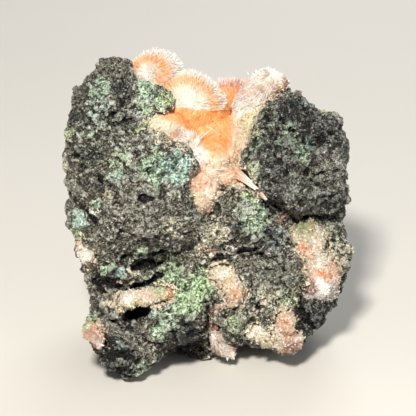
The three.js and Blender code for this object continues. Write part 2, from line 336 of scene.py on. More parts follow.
class Finish:
    def __init__(self, name, **values):
        self.material = bpy.data.materials.new(name)
        self.material.use_nodes = True
        self.tree = self.material.node_tree
        self.shader = self.tree.nodes["Principled BSDF"]
        for socket, value in values.items():
            self.shader.inputs[socket.replace("_", " ")].default_value = value
        self.place = self.add("TexCoord", out="Object")
        size, reach = 1.3, 1.6  # places are bent a little, so that no cell has a straight edge
        bend = {0: self.noise(size, 2, out="Color"), 1: (reach * mm,) * 3, 2: self.place}
        self.bent = self.add("VectorMath", {"operation": "MULTIPLY_ADD"}, bend)

    def add(self, kind, settings=None, sockets=None, out=0):
        node = self.tree.nodes.new("ShaderNode" + kind)
        for key, value in (settings or {}).items():
            setattr(node, key, value)
        for key, value in (sockets or {}).items():
            self.join(value, node.inputs[key])
        return Wire(self, node.outputs[out])

    def join(self, value, socket):
        if isinstance(value, Wire):
            self.tree.links.new(value.socket, socket)
        else:
            socket.default_value = value

    def wear(self, **sockets):
        for socket, value in sockets.items():
            self.join(value, self.shader.inputs[socket.replace("_", " ")])

    def attribute(self, name, out="Fac"):
        return self.add("Attribute", {"attribute_name": name}, out=out)

    def mix(self, first, second, share):
        first, second = [(*linear(one), 1) if isinstance(one, str) else one for one in (first, second)]
        settings = {"data_type": "RGBA", "clamp_factor": True}
        return self.add("Mix", settings, {0: share, 6: first, 7: second}, 2)

    def part(self, colour, channel=0):  # one of a colour's three numbers
        return self.add("SeparateColor", {}, {0: colour}, channel)

    def spread(self, value, low, high, to=(0, 1)):  # a value's range, stretched to another
        sockets = {0: value, 1: low, 2: high, 3: to[0], 4: to[1]}
        return self.add("MapRange", {"clamp": True, "interpolation_type": "SMOOTHSTEP"}, sockets)

    def noise(self, size, detail=3.0, rough=0.6, out="Fac"):
        sockets = {"Vector": self.place, "Scale": 1 / (size * mm), "Detail": detail, "Roughness": rough}
        return self.add("TexNoise", {}, sockets, out)

    def cells(self, size, out):
        return self.add("TexVoronoi", {}, {"Vector": self.bent, "Scale": 1 / (size * mm)}, out)

    def planes(self, size):  # flat faces that each lean their own way, as heights for a bump
        place = self.cells(size, "Position")
        tone = Wire(self, place.socket.node.outputs["Color"])
        away = self.add("VectorMath", {"operation": "SUBTRACT"}, {0: self.bent, 1: place})
        lean = self.add("VectorMath", {"operation": "SUBTRACT"}, {0: tone, 1: (0.5, 0.5, 0.5)})
        return self.add("VectorMath", {"operation": "DOT_PRODUCT"}, {0: away, 1: lean}, "Value")

    def bump(self, height, depth, under=None):
        sockets = {"Height": height, "Distance": depth * mm, "Strength": 1.0}
        if under:
            sockets["Normal"] = under
        return self.add("Bump", {}, sockets)


def wearFinish(piece, finish, node):
    piece.data.materials.clear()
    piece.data.materials.append(finish.material)
    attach(piece, "root")
    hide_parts(node)


# Basalt: the block, its breaks, cracks and grain

basalt = {
    "voxel": 1.06,
    "smoothing": 5,
    "blocks": {"basis": "VORONOI_F2_F1", "size": 8.0, "height": 2.6, "middle": 0.35},
    "facets": {"basis": "VORONOI_F2_F1", "size": 4.4, "height": 1.3, "middle": 0.35},
    "ridges": {"size": 5.0, "height": 0.8, "stretch": (0.8, 1.15, 1)},
    "knobs": {"basis": "VORONOI_F1", "size": 2.0, "height": -0.2, "depth": 1},
    "chunks": {"count": 1500, "step": 0.34, "tilt": 0.17},
    "splinters": {"count": 18000, "step": 0.11, "tilt": 0.2},
    "grit": 0.05,
    "baseFree": (0.2, 3.0),  # heights with no relief yet, so that the base stays flat, and with all of it
    "most": 180000,  # triangles
    "setBack": 0.4,  # beside the crusts
    "crumbs": (0.4, 3.4),  # how far from a crust the stone is covered with its crumbs, and free of them
    "pitDepth": 1.6,  # of its radius
    "crackFree": (1, 5),  # heights with no cracks yet, and with their full depth
    # How strong the painted shade inside cracks and pits is.
    "crackPaintedShade": 1.7,
    "darkDepths": (1.4, 3.6),  # how deep inside a crack or pit its painted shade begins, and where it is darkest
}
wander = {  # how coarsely places on the face are moved about, and how far, so that no edge is even
    "cracks": (5, 1.3), "coats": (3, 1.6),
}
behindFace = {  # how far behind the face's middle each of these is gone, and from where it has full strength
    "cracks": (-14, 0), "coats": (-16, -4), "darkStoneAndShade": (-20, -8), "grains": (-14, 0), "fine": -16,
}
fades = {"coat": (0.55, 1.2), "shade": (0.5, 1.3)}  # shares of its reach where one begins to fade and is gone
sidePatches = {"size": 13, "where": (0.05, 0.5), "amount": 0.5, "tone": "mint"}  # at the sides and back
stoneGrains = {
    "count": 15000, "least": 0.35, "power": 2, "size": 1.3, "lean": 0.6, "sunk": 0.45, "tall": 0.45,
    "across": ((0.5, 0.9), (0.4, 0.8)),
}
stoneSizes = {"grain": 0.55, "glint": 0.38, "speckle": 1.3, "patch": 9, "crystals": 6, "plane": 1.2}
# Glint colours are painted glints, the edge colour a painted highlight, and the hollow and shade colours
# painted shade, the shade ones partly also darker stone.
stoneColours = {
    "deep": "#141412", "dark": "#4c4a3f", "light": "#979380", "glint": "#d2d3c6", "gap": "#060706",
    "coatGlint": "#f0f4e6", "crystal": "#dcd9cc", "dust": "#d6cbb0", "shadedHollow": "#0a0a09", "edge": "#d8dccc",
    "shade": "#0c0d0d", "grain": "#b9b6a6", "grainDust": "#e0d4bc", "grainShade": "#121313",
}
cracks = [  # lines across the face where the stone has parted: corners, width and depth
    ([(-38, -21), (-33, -22.5), (-27.7, -23.8), (-19.6, -21.6), (-14, -19)], 1.1, 5.0),
    ([(-26.8, -34.2), (-24, -33.4), (-21.4, -31.6)], 2.0, 6.5),
    ([(-23, -16.8), (-20.4, -15.4), (-17.8, -14.4)], 2.1, 6.5),
    ([(-34.6, -21.6), (-31.6, -22.6)], 1.6, 5.0),
    ([(-28, -12.6), (-24, -13.4), (-17, -11.6), (-10, -12), (-5, -10)], 0.9, 3.0),
    ([(-34, -33.6), (-29, -36.6), (-25, -37)], 1.0, 3.5),
    ([(-31, -45), (-27, -46.6), (-24, -44.6)], 1.0, 3.0),
    ([(-29.5, -51), (-26.5, -53)], 1.6, 3.5),
    ([(24.5, 41), (21.8, 37.5), (19.8, 31), (16.8, 24.4), (13.8, 18.8)], 0.9, 2.4),
    ([(-37, -19.5), (-36, -24), (-33, -26)], 1.4, 4.0),
    ([(1.8, -15.4), (5.6, -13.3), (11.9, -11.2), (17.2, -10.5), (20, -7.5)], 0.9, 3.5),
    ([(-0.4, -28.7), (1, -34), (2, -39), (1.4, -44)], 0.9, 5.0),
    ([(13, -12.5), (18, -12), (24, -14)], 0.8, 2.5),
    ([(-46, 8), (-41, 3), (-37, -1)], 1.3, 3.5),
    ([(-31, 44), (-27, 39), (-31, 35), (-35, 32)], 1.5, 2.5),
    ([(-36, 32), (-29, 31), (-25, 34)], 1.4, 2.5),
    ([(-22, 8), (-18, 6.5), (-14, 8.5)], 1.3, 2.5),
    ([(-33, -33), (-38, -30), (-41, -27)], 1.0, 2.5),
    ([(-27, -37), (-19, -42), (-14, -45)], 1.0, 2.5),
    ([(20, 7), (27, 2.5), (31, -1), (38, 1)], 1.3, 3.0),
    ([(30, 30), (35, 25), (40, 27)], 1.0, 2.5),
    ([(22, 22), (27, 17), (36, 15), (44, 17)], 0.9, 2.0),
    ([(32, -27), (34, -34), (39, -40)], 1.0, 3.0),
    ([(-30, 20), (-24, 15), (-16, 16), (-9, 12)], 0.8, 1.6),
]
pits = [  # small gas holes and gaps: place and radius on the face
    ((21.7, -5), 1.9), ((9, -8), 1.7), ((29.5, -7.5), 1.5), ((-19.3, 7.6), 1.4), ((-2, -7), 1.4),
    ((37, 12), 1.6), ((-44, 22), 1.8), ((26, 33), 1.5), ((14, -33), 1.4), ((19, -29), 1.2), ((-8, -36), 1.3),
    ((-36, 13), 1.2), ((44, -8), 1.4),
]
coatTones = {
    "mint": "#b0cfae", "cyan": "#a9c8bd", "yellow green": "#b6c698", "light green": "#b0cc9f",
    "olive": "#6e7060", "cream": "#d2c9ae", "white": "#e6e2d8", "pink": "#d4b09a", "brown": "#6c6356",
    "red brown": "#8e6858", "charcoal": "#252627", "blue grey": "#5b656a", "pale grey": "#a0a299",
}
# Two of these are painted shade: the charcoal coat under the arch, and the blue grey coat on the lower right
# underside.
coats = [  # what covers the stone: place on the face, reach, amount and tone, the later ones over the earlier
    (-23, 5, 15, 0.5, "brown"), (23, -20, 9, 0.7, "olive"), (34, 18, 24, 0.5, "charcoal"),
    (-31, 22, 11, 0.1, "mint"), (-36, 44, 4.2, 0.8, "mint"), (-28.4, 44, 4, 0.95, "charcoal"),
    (-20.3, 44.5, 3.8, 1, "mint"), (-13.7, 40, 3.8, 1, "yellow green"), (-22, 36.8, 5.6, 0.7, "pale grey"),
    (-19, 39, 5, 0.55, "mint"), (-37, 37, 4.4, 0.55, "cyan"), (-44, 34, 3, 0.9, "charcoal"),
    (-27.3, 33, 3.2, 0.9, "charcoal"), (-47, 29, 3, 0.8, "yellow green"), (-38, 29, 6.0, 0.38, "mint"),
    (-30, 27.3, 4.4, 0.45, "pale grey"), (-39.2, 21, 4.4, 0.9, "charcoal"),
    (-29.5, 19.6, 4.2, 0.6, "light green"), (-24, 24, 4, 0.5, "pale grey"), (-17.5, 17.5, 5.6, 1, "mint"),
    (-10, 17.5, 6.0, 1, "cyan"), (-16.8, 12.6, 3.6, 0.9, "mint"), (-11, 10.4, 3.8, 0.5, "pale grey"),
    (-9.4, 13, 2.6, 0.9, "cyan"), (-14.4, 14.4, 1.5, 1, "charcoal"), (-17.2, 18.5, 1.4, 1, "charcoal"),
    (-10.6, 19, 1.4, 1, "charcoal"), (-49, 18.7, 2.6, 0.8, "cream"), (-45, 11, 3.4, 0.7, "olive"),
    (-36.8, 5.2, 1.8, 0.9, "mint"), (-30, 14, 2.2, 0.8, "cyan"), (-43, -0.4, 4.0, 0.95, "cyan"),
    (-32.8, 8, 1.8, 0.8, "cream"), (-37.3, 1.8, 1.6, 0.9, "white"), (-22, 8, 3, 0.6, "pale grey"),
    (-11.5, -3, 4.0, 0.6, "cream"), (-43.5, -6, 3.2, 0.8, "yellow green"), (-34, -17.6, 2.8, 0.9, "mint"),
    (-29.4, -18.4, 2.2, 1, "cyan"), (-21.4, -11, 2.6, 0.9, "mint"), (-24.5, -18.4, 2.2, 0.8, "cream"),
    (-27, -22.4, 3.8, 0.7, "brown"), (-33, -28, 3.4, 0.7, "cream"), (-12, -19, 5.6, 0.85, "light green"),
    (-6, -27, 7.0, 1, "light green"), (-13, -33, 5.2, 0.6, "mint"), (0, -21.5, 6.2, 1, "light green"),
    (-19, -33, 3.0, 0.7, "cyan"), (-31.5, -35.4, 5.0, 0.8, "brown"), (-22.5, -41, 5.0, 0.7, "brown"),
    # The charcoal coat at (-6, -40) is painted shade under the arch.
    (-15.5, -38, 3.6, 0.85, "mint"), (-29, -43, 2.2, 0.9, "cyan"), (-6, -40, 4.4, 0.9, "charcoal"),
    (-39.2, -35, 2.6, 0.8, "yellow green"), (-29, -47, 4.4, 0.3, "brown"), (-31.5, -52, 4.0, 0.9, "charcoal"),
    (-22.4, -51, 3.2, 0.8, "mint"), (-19, -23, 3, 0.6, "mint"), (-18.5, 32, 3.6, 0.95, "cream"),
    (-14.5, 27, 3.2, 0.9, "cream"), (-22, 30, 2.4, 0.8, "yellow green"), (-12, 27.6, 3.2, 1, "cream"),
    (-8.5, 24.6, 2.6, 0.9, "cream"), (16, 1, 7, 0.75, "mint"), (13, 4, 4, 0.7, "pale grey"),
    (14.5, 8, 2.6, 1, "yellow green"), (18, 8, 2.2, 0.9, "cream"), (3.8, -5.6, 4.8, 0.9, "cream"),
    (-4.5, 1, 2.8, 0.7, "pale grey"), (3.6, 1, 2.4, 0.7, "cream"), (-0.4, -11, 3.2, 0.8, "cream"),
    (1.4, -11, 2.6, 0.8, "pink"), (8, -12, 3.0, 0.6, "white"), (11, -3, 2.2, 1, "charcoal"),
    (23, -7, 5.4, 0.85, "blue grey"), (26.6, 1.2, 2.6, 0.9, "red brown"), (13, -17.8, 1.8, 0.6, "brown"),
    (21.7, -27.6, 5.4, 0.6, "cream"), (28.7, -28.4, 3.8, 0.8, "yellow green"),
    # The blue grey coat at (38.5, -34) is painted bluish shade on the lower right underside.
    (9.5, -36, 4.6, 0.7, "yellow green"), (16, -33, 3, 0.6, "cream"), (38.5, -34, 7.4, 0.5, "blue grey"),
    (43, -31, 2.2, 0.8, "pale grey"), (47, -12, 5.4, 0.6, "cream"), (43, -6, 3.4, 0.6, "yellow green"),
    (3.2, -31.5, 1.6, 0.9, "red brown"), (3, -36, 1.6, 0.8, "red brown"), (31.8, 44.2, 1.8, 0.9, "red brown"),
    (34.5, 40.6, 2.6, 0.7, "cyan"), (28.5, 36.8, 5.2, 0.95, "charcoal"), (40, 37, 1.6, 0.9, "yellow green"),
    (28.3, 30.2, 2.8, 1, "mint"), (21.5, 32.4, 2, 0.9, "mint"), (17.2, 28.5, 2.4, 0.9, "yellow green"),
    (16.8, 24.5, 2.4, 0.9, "mint"), (35.6, 25.7, 2.6, 0.9, "cyan"), (33, 21.6, 2.8, 1, "mint"),
    (45.5, 20.3, 3.5, 0.9, "pale grey"), (24.6, 25.4, 2, 0.8, "mint"), (30, 26, 2, 0.8, "mint"),
    (38, 8, 4, 0.6, "pale grey"), (38.5, 16, 4.6, 0.9, "olive"), (33, 24, 1.3, 0.9, "cyan"),
    (15.4, 16.4, 3.2, 0.7, "yellow green"), (29.5, 9.4, 3.4, 0.8, "pale grey"),
    (24, 5.8, 3.2, 0.9, "charcoal"), (39.5, 30, 3.6, 0.9, "charcoal"), (36, 2, 5, 0.5, "olive"),
    (24, 13, 4, 0.35, "brown"),
]
# Partly the stone's own darker tone, partly painted shade under overhangs, under the arch and on the
# undersides.
darkStoneAndShade = [  # where the stone is painted darker: place on the face, reach and amount
    (32, 31, 9, 1.3), (21.5, 25, 6, 1.2), (24, 17, 7, 1.2), (44, 28, 7, 1.2), (36, 17, 9, 0.6),
    (30, 8, 10, 0.8), (38, 29, 4, 1.7), (46, 10, 4, 0.7), (23, 5, 4, 1.7), (30, 37, 5, 1.7), (43, 4, 7, 1.3),
    (38, 8, 4, 1.0), (36, 0, 6, 0.7), (47, -3, 4, 0.6), (38, -36, 10, 1.6), (46, -24, 6, 0.9),
    (42, -30, 4, 1.0), (-28.4, 44, 5, 0.7), (-39, 43, 6, 0.6), (-36, 38, 5, 0.5), (-44, 33, 5, 0.8),
    (-39, 21, 5, 0.5), (-27, 33, 4, 0.6), (-34, 32, 11, 0.35), (-20, 22, 9, 0.2), (-16, 8, 4, 0.5),
    (-18, -4, 8, 0.3), (-25, -8, 3.5, 0.7), (-18.5, -8, 4, 0.9), (-12, -8.5, 3.5, 0.7), (-6.5, -8.5, 3, 0.6),
    (-27, -12, 6, 0.45), (-31.5, -20.5, 3.4, 0.9), (-6, -40.5, 6.5, 1.8), (-1, -38, 4, 0.8),
    (-10, -47, 6, 1.8), (-22, -48, 3.5, 0.5), (-26, -41, 3, 0.4), (-32, -48, 10, 1.6), (-5, -34, 3, 0.4),
    (23, -21, 8, 0.3), (24, 6, 5, 0.8), (29, 37, 6, 0.85), (36, 34, 6, 0.6), (-8, 4, 6, 0.3),
    (-27, 2, 7, 0.3), (-38, 12, 5, 0.5), (-13, -5, 6, 0.25), (-43, 28, 5, 0.5), (-35, -24, 5, 0.5),
    (9, -33, 4, 0.5), (20, 12, 5, 0.5), (-21, -35, 4, 0.4), (11, -6, 4, 0.6), (16, -8, 4, 0.6),
]


def offTable(points):  # 0 on the flat base, 1 well above it
    return smoothstep(points[:, 2] / mm, *basalt["baseFree"])


def wandered(face, size, reach):
    moves = np.array([noise.noise_vector(Vector(place) / size) for place in face])
    return face[:, :2] + reach * moves[:, :2]


def sunkAt(face):  # how deep the cracks and pits reach at each place, in mm
    sink = np.zeros(len(face))
    flat = wandered(face, *wander["cracks"])
    for line, wide, deep in cracks:
        line = np.array(line)
        away = np.full(len(face), 1e9)
        for start, end in zip(line[:-1], line[1:]):
            span = end - start
            share = np.clip(((flat - start) @ span) / (span @ span), 0, 1)
            away = np.minimum(away, np.linalg.norm(flat - start - share[:, None] * span, axis=1))
        sink = np.maximum(sink, deep * np.exp(-((away / wide) ** 2)))
    for place, radius in pits:
        away = np.linalg.norm(flat - np.array(place), axis=1)
        sink = np.maximum(sink, basalt["pitDepth"] * radius * np.exp(-((away / radius) ** 4)))
    return sink * smoothstep(face[:, 2], *behindFace["cracks"])


def carveCracks(piece):
    points = pointsOf(piece)
    sink = sunkAt(toFace(points)) * smoothstep(points[:, 2] / mm, *basalt["crackFree"])
    inward = fromFace([(0, 0, -1)])[0] - fromFace([(0, 0, 0)])[0]
    movePoints(piece, points + inward * sink[:, None])


def fineFront(piece):  # smaller faces where the specimen is looked at
    bpy.context.tool_settings.mesh_select_mode = (False, False, True)
    normals = np.array([face.normal for face in piece.data.polygons])
    places = np.array([face.center for face in piece.data.polygons])
    outward = (fromFace([(0, 0, 1)])[0] - fromFace([(0, 0, 0)])[0]) / mm
    chosen = (normals @ outward > 0.05) & (toFace(places)[:, 2] > behindFace["fine"])
    only(piece)
    bpy.ops.object.mode_set(mode="EDIT")
    bpy.ops.mesh.select_all(action="DESELECT")
    bpy.ops.object.mode_set(mode="OBJECT")
    piece.data.polygons.foreach_set("select", chosen)
    bpy.ops.object.mode_set(mode="EDIT")
    bpy.ops.mesh.subdivide(number_cuts=1, smoothness=0)
    bpy.ops.object.mode_set(mode="OBJECT")


def hollowness(piece, times, scale):  # above zero in hollows, below zero on edges and bumps
    mesh = piece.data
    edges = np.empty(2 * len(mesh.edges), np.int32)
    mesh.edges.foreach_get("vertices", edges)
    a, b = edges.reshape(-1, 2).T
    points = pointsOf(piece)
    count = np.maximum(np.bincount(a, minlength=len(points)) + np.bincount(b, minlength=len(points)), 1)
    calm = points.copy()
    for _ in range(times):
        calm = np.column_stack([
            (np.bincount(a, calm[b, k], len(points)) + np.bincount(b, calm[a, k], len(points))) / count
            for k in range(3)
        ])
    return np.einsum("ij,ij->i", calm - points, normalsOf(piece)) / (scale * mm)


def coatOver(points):  # the colour of what covers the stone and how thickly, in two places painted shade
    face = toFace(points)
    flat = wandered(face, *wander["coats"])
    colours = np.tile(linear(coatTones["pale grey"]), (len(points), 1))
    share = np.zeros(len(points))
    for x, y, reach, amount, tone in coats:
        away = np.linalg.norm(flat - (x, y), axis=1) / reach
        here = amount * (1 - smoothstep(away, *fades["coat"]))
        colours += (linear(coatTones[tone]) - colours) * here[:, None]
        share += (1 - share) * here
    front = smoothstep(face[:, 2], *behindFace["coats"])
    loose = np.array([noise.noise(Vector(place) / sidePatches["size"]) for place in face])
    behind = smoothstep(loose, *sidePatches["where"]) * sidePatches["amount"]
    tone = linear(coatTones[sidePatches["tone"]])
    colours = tone + (colours - tone) * front[:, None]
    return colours, share * front + behind * (1 - front)


def darkStoneAndShadeOver(points):  # darker stone and painted shade by place, and painted shade inside cracks
    face = toFace(points)
    shade = np.zeros(len(points))
    for x, y, reach, amount in darkStoneAndShade:
        away = np.linalg.norm(face[:, :2] - (x, y), axis=1) / reach
        shade = np.maximum(shade, amount * (1 - smoothstep(away, *fades["shade"])))
    shade *= smoothstep(face[:, 2], *behindFace["darkStoneAndShade"])
    # Painted shade deep inside the cracks and pits.
    return np.maximum(shade, basalt["crackPaintedShade"] * smoothstep(sunkAt(face), *basalt["darkDepths"]))


def crustDust(points):  # how near a crust lies, whose crumbs are spread over the stone round it
    places, faces = [], []
    for name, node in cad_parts.items():
        if name != "basalt_matrix":
            faces += [[corner + len(places) for corner in face.vertices] for face in node.data.polygons]
            places += pointsOf(node).tolist()
    tree = BVHTree.FromPolygons(places, faces)
    near, free = basalt["crumbs"]
    away = [tree.find_nearest(point, free * mm)[3] for point in points.tolist()]
    return 1 - smoothstep(np.array([free if far is None else far / mm for far in away]), near, free)


def ridge(piece, size, height, stretch):  # sharp broken ridges, drawn out across the face
    points = pointsOf(piece)
    places = toFace(points) * stretch / size
    kind = (0.9, 2.1, 3, 1.0, 2.0)  # dimension, lacunarity, octaves, offset and gain
    rise = np.array([noise.ridged_multi_fractal(Vector(place), *kind) for place in places])
    rise = (rise - rise.mean()) / rise.std() * offTable(points)
    movePoints(piece, points + normalsOf(piece) * np.clip(rise, -2, 2)[:, None] * 0.5 * height * mm)


def breakUp(piece, count, step, tilt):  # flat faces that stand at their own height and tilt, as stone breaks
    points = pointsOf(piece)
    sites = random.choice(len(points), count, replace=False)
    tree = KDTree(count)
    for index, site in enumerate(points[sites]):
        tree.insert(site, index)
    tree.balance()
    nearest = np.array([tree.find(point)[1] for point in points])
    lean = random.normal(0, tilt, (count, 3))[nearest]
    rise = random.uniform(-step, step, count)[nearest] * mm
    rise += np.einsum("ij,ij->i", points - points[sites][nearest], lean)
    rise = np.clip(rise / mm, -2 * step, 2 * step) * offTable(points)
    movePoints(piece, points + normalsOf(piece) * rise[:, None] * mm)
    return random.random(count)[nearest]


def makeBasalt():
    piece = copyOfNode("basalt_matrix", "basalt_block")
    oneSkin(piece, basalt)
    group = "off the table"
    weigh(piece, group, offTable(pointsOf(piece)))
    roughen(piece, "blocks", basalt["blocks"], group)
    roughen(piece, "facets", basalt["facets"], group)
    carveCracks(piece)
    fineFront(piece)
    ridge(piece, **basalt["ridges"])
    roughen(piece, "knobs", basalt["knobs"], group)
    breakUp(piece, **basalt["chunks"])
    facets = breakUp(piece, **basalt["splinters"])
    points = pointsOf(piece)
    movePoints(piece, points - normalsOf(piece) * crustDust(points)[:, None] * basalt["setBack"] * mm)
    paint(piece, "facet", facets)
    keepInBox(piece)
    piece.data.calc_loop_triangles()
    triangles = len(piece.data.loop_triangles)
    if triangles > basalt["most"]:
        finishWith(piece, "DECIMATE", ratio=basalt["most"] / triangles)
    points = pointsOf(piece)
    grit = random.normal(0, basalt["grit"] * mm, points.shape)
    movePoints(piece, points + grit * offTable(points)[:, None])
    keepInBox(piece)
    points = pointsOf(piece)
    colours, share = coatOver(points)
    # How hollow each place is: the finish paints shade into hollows and nooks, and a highlight onto edges.
    paint(piece, "shadedHollow", hollowness(piece, times=6, scale=0.6))
    paint(piece, "nook", hollowness(piece, times=2, scale=0.25))
    paint(piece, "coat", colours)
    paint(piece, "coated", share)
    paint(piece, "shade", darkStoneAndShadeOver(points))
    paint(piece, "dust", crustDust(points))
    shadeFlat(piece)
    return piece


def stoneTones(finish, facet):  # the basalt's colour and its coat's, which its loose grains share
    tint = finish.cells(stoneSizes["grain"], "Color")
    grains = finish.part(tint)
    glint = finish.part(finish.cells(stoneSizes["glint"], "Color"))
    patches = finish.noise(stoneSizes["patch"], 4, 0.65)
    speckle = finish.noise(stoneSizes["speckle"], 4, 0.75)
    dark = finish.mix(stoneColours["deep"], stoneColours["dark"], finish.spread(patches, 0.34, 0.66))
    bright = finish.spread(1.3 * grains + 0.4 * facet + 1.7 * speckle, 1.42, 2.22)
    stone = finish.mix(dark, stoneColours["light"], bright)
    # Painted glints on single grains.
    shining = finish.spread(glint + 0.5 * speckle, 1.12, 1.2, (0, 0.85))
    stone = finish.mix(stone, stoneColours["glint"], shining)
    stone = finish.mix(stone, stoneColours["gap"], finish.spread(glint, 0.28, 0.15, (0, 0.85)))
    value = finish.spread(0.7 * finish.part(tint, 1) + 0.6 * facet + 1.3 * speckle, 0.9, 1.75, (0.1, 1.55))
    sockets = {"Color": finish.attribute("coat", "Color"), "Value": value, "Saturation": 1.35 - 0.35 * value}
    coat = finish.add("HueSaturation", {}, sockets)
    # Painted glints on the coats.
    coat = finish.mix(coat, stoneColours["coatGlint"], finish.spread(glint, 0.82, 0.93, (0, 0.65)))
    return stone, coat, grains, glint, speckle


def basaltFinish():
    finish = Finish("basalt", IOR=1.5)
    facet = finish.attribute("facet")
    stone, coat, grains, glint, speckle = stoneTones(finish, facet)
    shadedHollow = finish.attribute("shadedHollow")
    nook = finish.attribute("nook")
    bare = 1.0 - finish.attribute("dust")
    patches = finish.noise(stoneSizes["crystals"], 2)
    amount = finish.attribute("coated") + 1.7 * (speckle - 0.5) + 0.7 * (facet - 0.5) - 0.4 * shadedHollow
    colour = finish.mix(stone, coat, finish.spread(amount, 0.36, 0.66))
    colour = finish.mix(colour, stoneColours["crystal"], finish.spread(patches * grains, 0.54, 0.64))
    dust = finish.attribute("dust") + 1.4 * (speckle - 0.5) + 2.2 * (patches - 0.5)
    colour = finish.mix(colour, stoneColours["dust"], finish.spread(dust, 0.45, 0.95, (0, 0.85)))
    # Painted shade in hollows and nooks, where no crumbs lie.
    colour = finish.mix(colour, stoneColours["shadedHollow"], finish.spread(shadedHollow, 0.5, 1.8, (0, 0.85)) * bare)
    colour = finish.mix(colour, stoneColours["shadedHollow"], finish.spread(nook, 0.8, 2.1, (0, 0.8)) * bare)
    # A painted highlight on edges and bumps.
    colour = finish.mix(colour, stoneColours["edge"], finish.spread(nook, -0.9, -2.2, (0, 0.35)))
    # Painted shade, partly also the stone's own darker tone; weaker by up to half where the stone is coated.
    plain = 1.0 - finish.spread(amount, 0.36, 0.66, (0, 0.5))
    shade = finish.attribute("shade") * plain * finish.spread(speckle, 0.62, 0.35, (0.5, 1))
    colour = finish.mix(colour, stoneColours["shade"], shade)
    finish.wear(Base_Color=colour, Roughness=finish.spread(glint, 0, 1, (0.85, 0.3)))
    large, small = finish.planes(stoneSizes["plane"]), finish.planes(stoneSizes["grain"])
    finish.wear(Normal=finish.bump(small, 1300, finish.bump(large, 800)))  # their heights are in metres
    return finish


def makeStoneGrains(block, shape):  # loose grains in bunches, more of them on coats and beside the crusts
    points = pointsOf(block)
    face = toFace(points)
    bunches = np.array([noise.noise(Vector(place) / 4) for place in face])
    bunched = smoothstep(bunches, -0.1, 0.4) * (0.35 + 0.65 * coatOver(points)[1])
    weights = 0.05 + bunched + 2.5 * crustDust(points)
    weights *= 0.15 + 0.85 * smoothstep(face[:, 2], *behindFace["grains"])  # few at the back
    places, out = scatter(block, stoneGrains["count"], weights)
    off = places[:, 2] > basalt["baseFree"][1] * mm
    places, out = places[off], out[off]
    piece = growOn("basalt_grains", shape, places, out, stoneGrains)
    colours, share = coatOver(places)
    values = {
        "coat": colours, "coated": share, "shade": darkStoneAndShadeOver(places), "dust": crustDust(places),
        "tone": random.random(len(places)),
    }
    for name, value in values.items():
        paint(piece, name, perCorner(shape, value))
    keepInBox(piece)
    shadeFlat(piece)
    return piece


def grainFinish():
    finish = Finish("basalt grains", IOR=1.5)
    tone = finish.attribute("tone")
    stone, coat, _, _, speckle = stoneTones(finish, tone)
    stone = finish.mix(stone, stoneColours["grain"], finish.spread(tone, 0.82, 0.97))
    amount = finish.attribute("coated") + 0.7 * (speckle - 0.5) + 0.7 * (tone - 0.5)
    colour = finish.mix(stone, coat, finish.spread(amount, 0.35, 0.55))
    dust = finish.attribute("dust") + 0.8 * (tone - 0.5)
    colour = finish.mix(colour, stoneColours["grainDust"], finish.spread(dust, 0.35, 0.55))
    # The stone's painted shade, partly its own darker tone, carried onto its loose grains.
    shade = finish.attribute("shade") * finish.spread(tone, 0.95, 0.6, (0.2, 0.9))
    colour = finish.mix(colour, stoneColours["grainShade"], shade)
    finish.wear(Base_Color=colour, Roughness=finish.spread(tone, 0, 1, (0.3, 0.8)))
    finish.wear(Normal=finish.bump(finish.noise(0.5, 2, 0.7), 0.2))
    return finish


basaltPiece = makeBasalt()
wearFinish(basaltPiece, basaltFinish(), "basalt_matrix")
chip = chipShape()
grainsPiece = makeStoneGrains(basaltPiece, chip)
wearFinish(grainsPiece, grainFinish(), "basalt_matrix")
print("basalt:", len(basaltPiece.data.polygons), "faces")


# The crust of the main pocket: fans of thomsonite, rims of mesolite and the broken crust round them

crust = {
    "voxel": 0.6,
    "smoothing": 4,
    "lumps": {"basis": "IMPROVED_PERLIN", "size": 3.2, "height": 1.8, "depth": 1},
    "grain": {"basis": "VORONOI_F1", "size": 1.6, "height": -1.0, "depth": 1, "middle": 0.4},
    "fine": {"basis": "VORONOI_F1", "size": 0.8, "height": -0.45, "middle": 0.4},
}
crustChips = {
    "count": 12000, "least": 0.3, "power": 2, "size": 1.7, "lean": 0.6, "sunk": 0.45, "tall": 0.6,
    "thick": 0.42,
}
# The darkest of these is painted shade in the gaps between grains, and the last white a painted glint.
crystalColours = {
    "white": "#fbf8f2", "stained": "#c98f6c", "dusty": "#a89a78", "gapShade": "#5c4c3c", "glintWhite": "#fffdf6",
}
crustMasses = [  # balls that have grown together: middle on the face and reach
    ((-17.5, 49, 3), (9, 8.2, 11)), ((-5.5, 38.4, 5.5), (13, 11.2, 12)), ((8.5, 38.6, -5), (9.5, 9.6, 9)),
    ((21.4, 47.4, -1), (5.8, 4.8, 8)), ((24.6, 46.6, 0), (3.9, 4.0, 7)), ((18.8, 42.8, 1), (6.4, 6.4, 8)),
    ((15.4, 38, 2.5), (5.4, 7, 8.4)), ((11.8, 35, 3.6), (3.4, 4.4, 7)), ((15, 33, 6), (4.2, 6, 8)),
    ((12.5, 24, 9.5), (5.2, 9.4, 9.5)), ((-15, 31, 16), (9.4, 5.4, 10.5)), ((-9, 27.4, 12.5), (6.6, 4.6, 12)),
    ((-2, 29, 4.5), (14.6, 9.4, 10.6)), ((-2.6, 22, 14), (4.6, 4.4, 9)), ((1, 18, 12), (8.4, 9.0, 11.5)),
    ((-1.5, 9, 15), (6, 8.2, 10)), ((8.2, 14, 14), (5.4, 4.0, 9)), ((3, 25, -14), (23, 19, 9)),
]
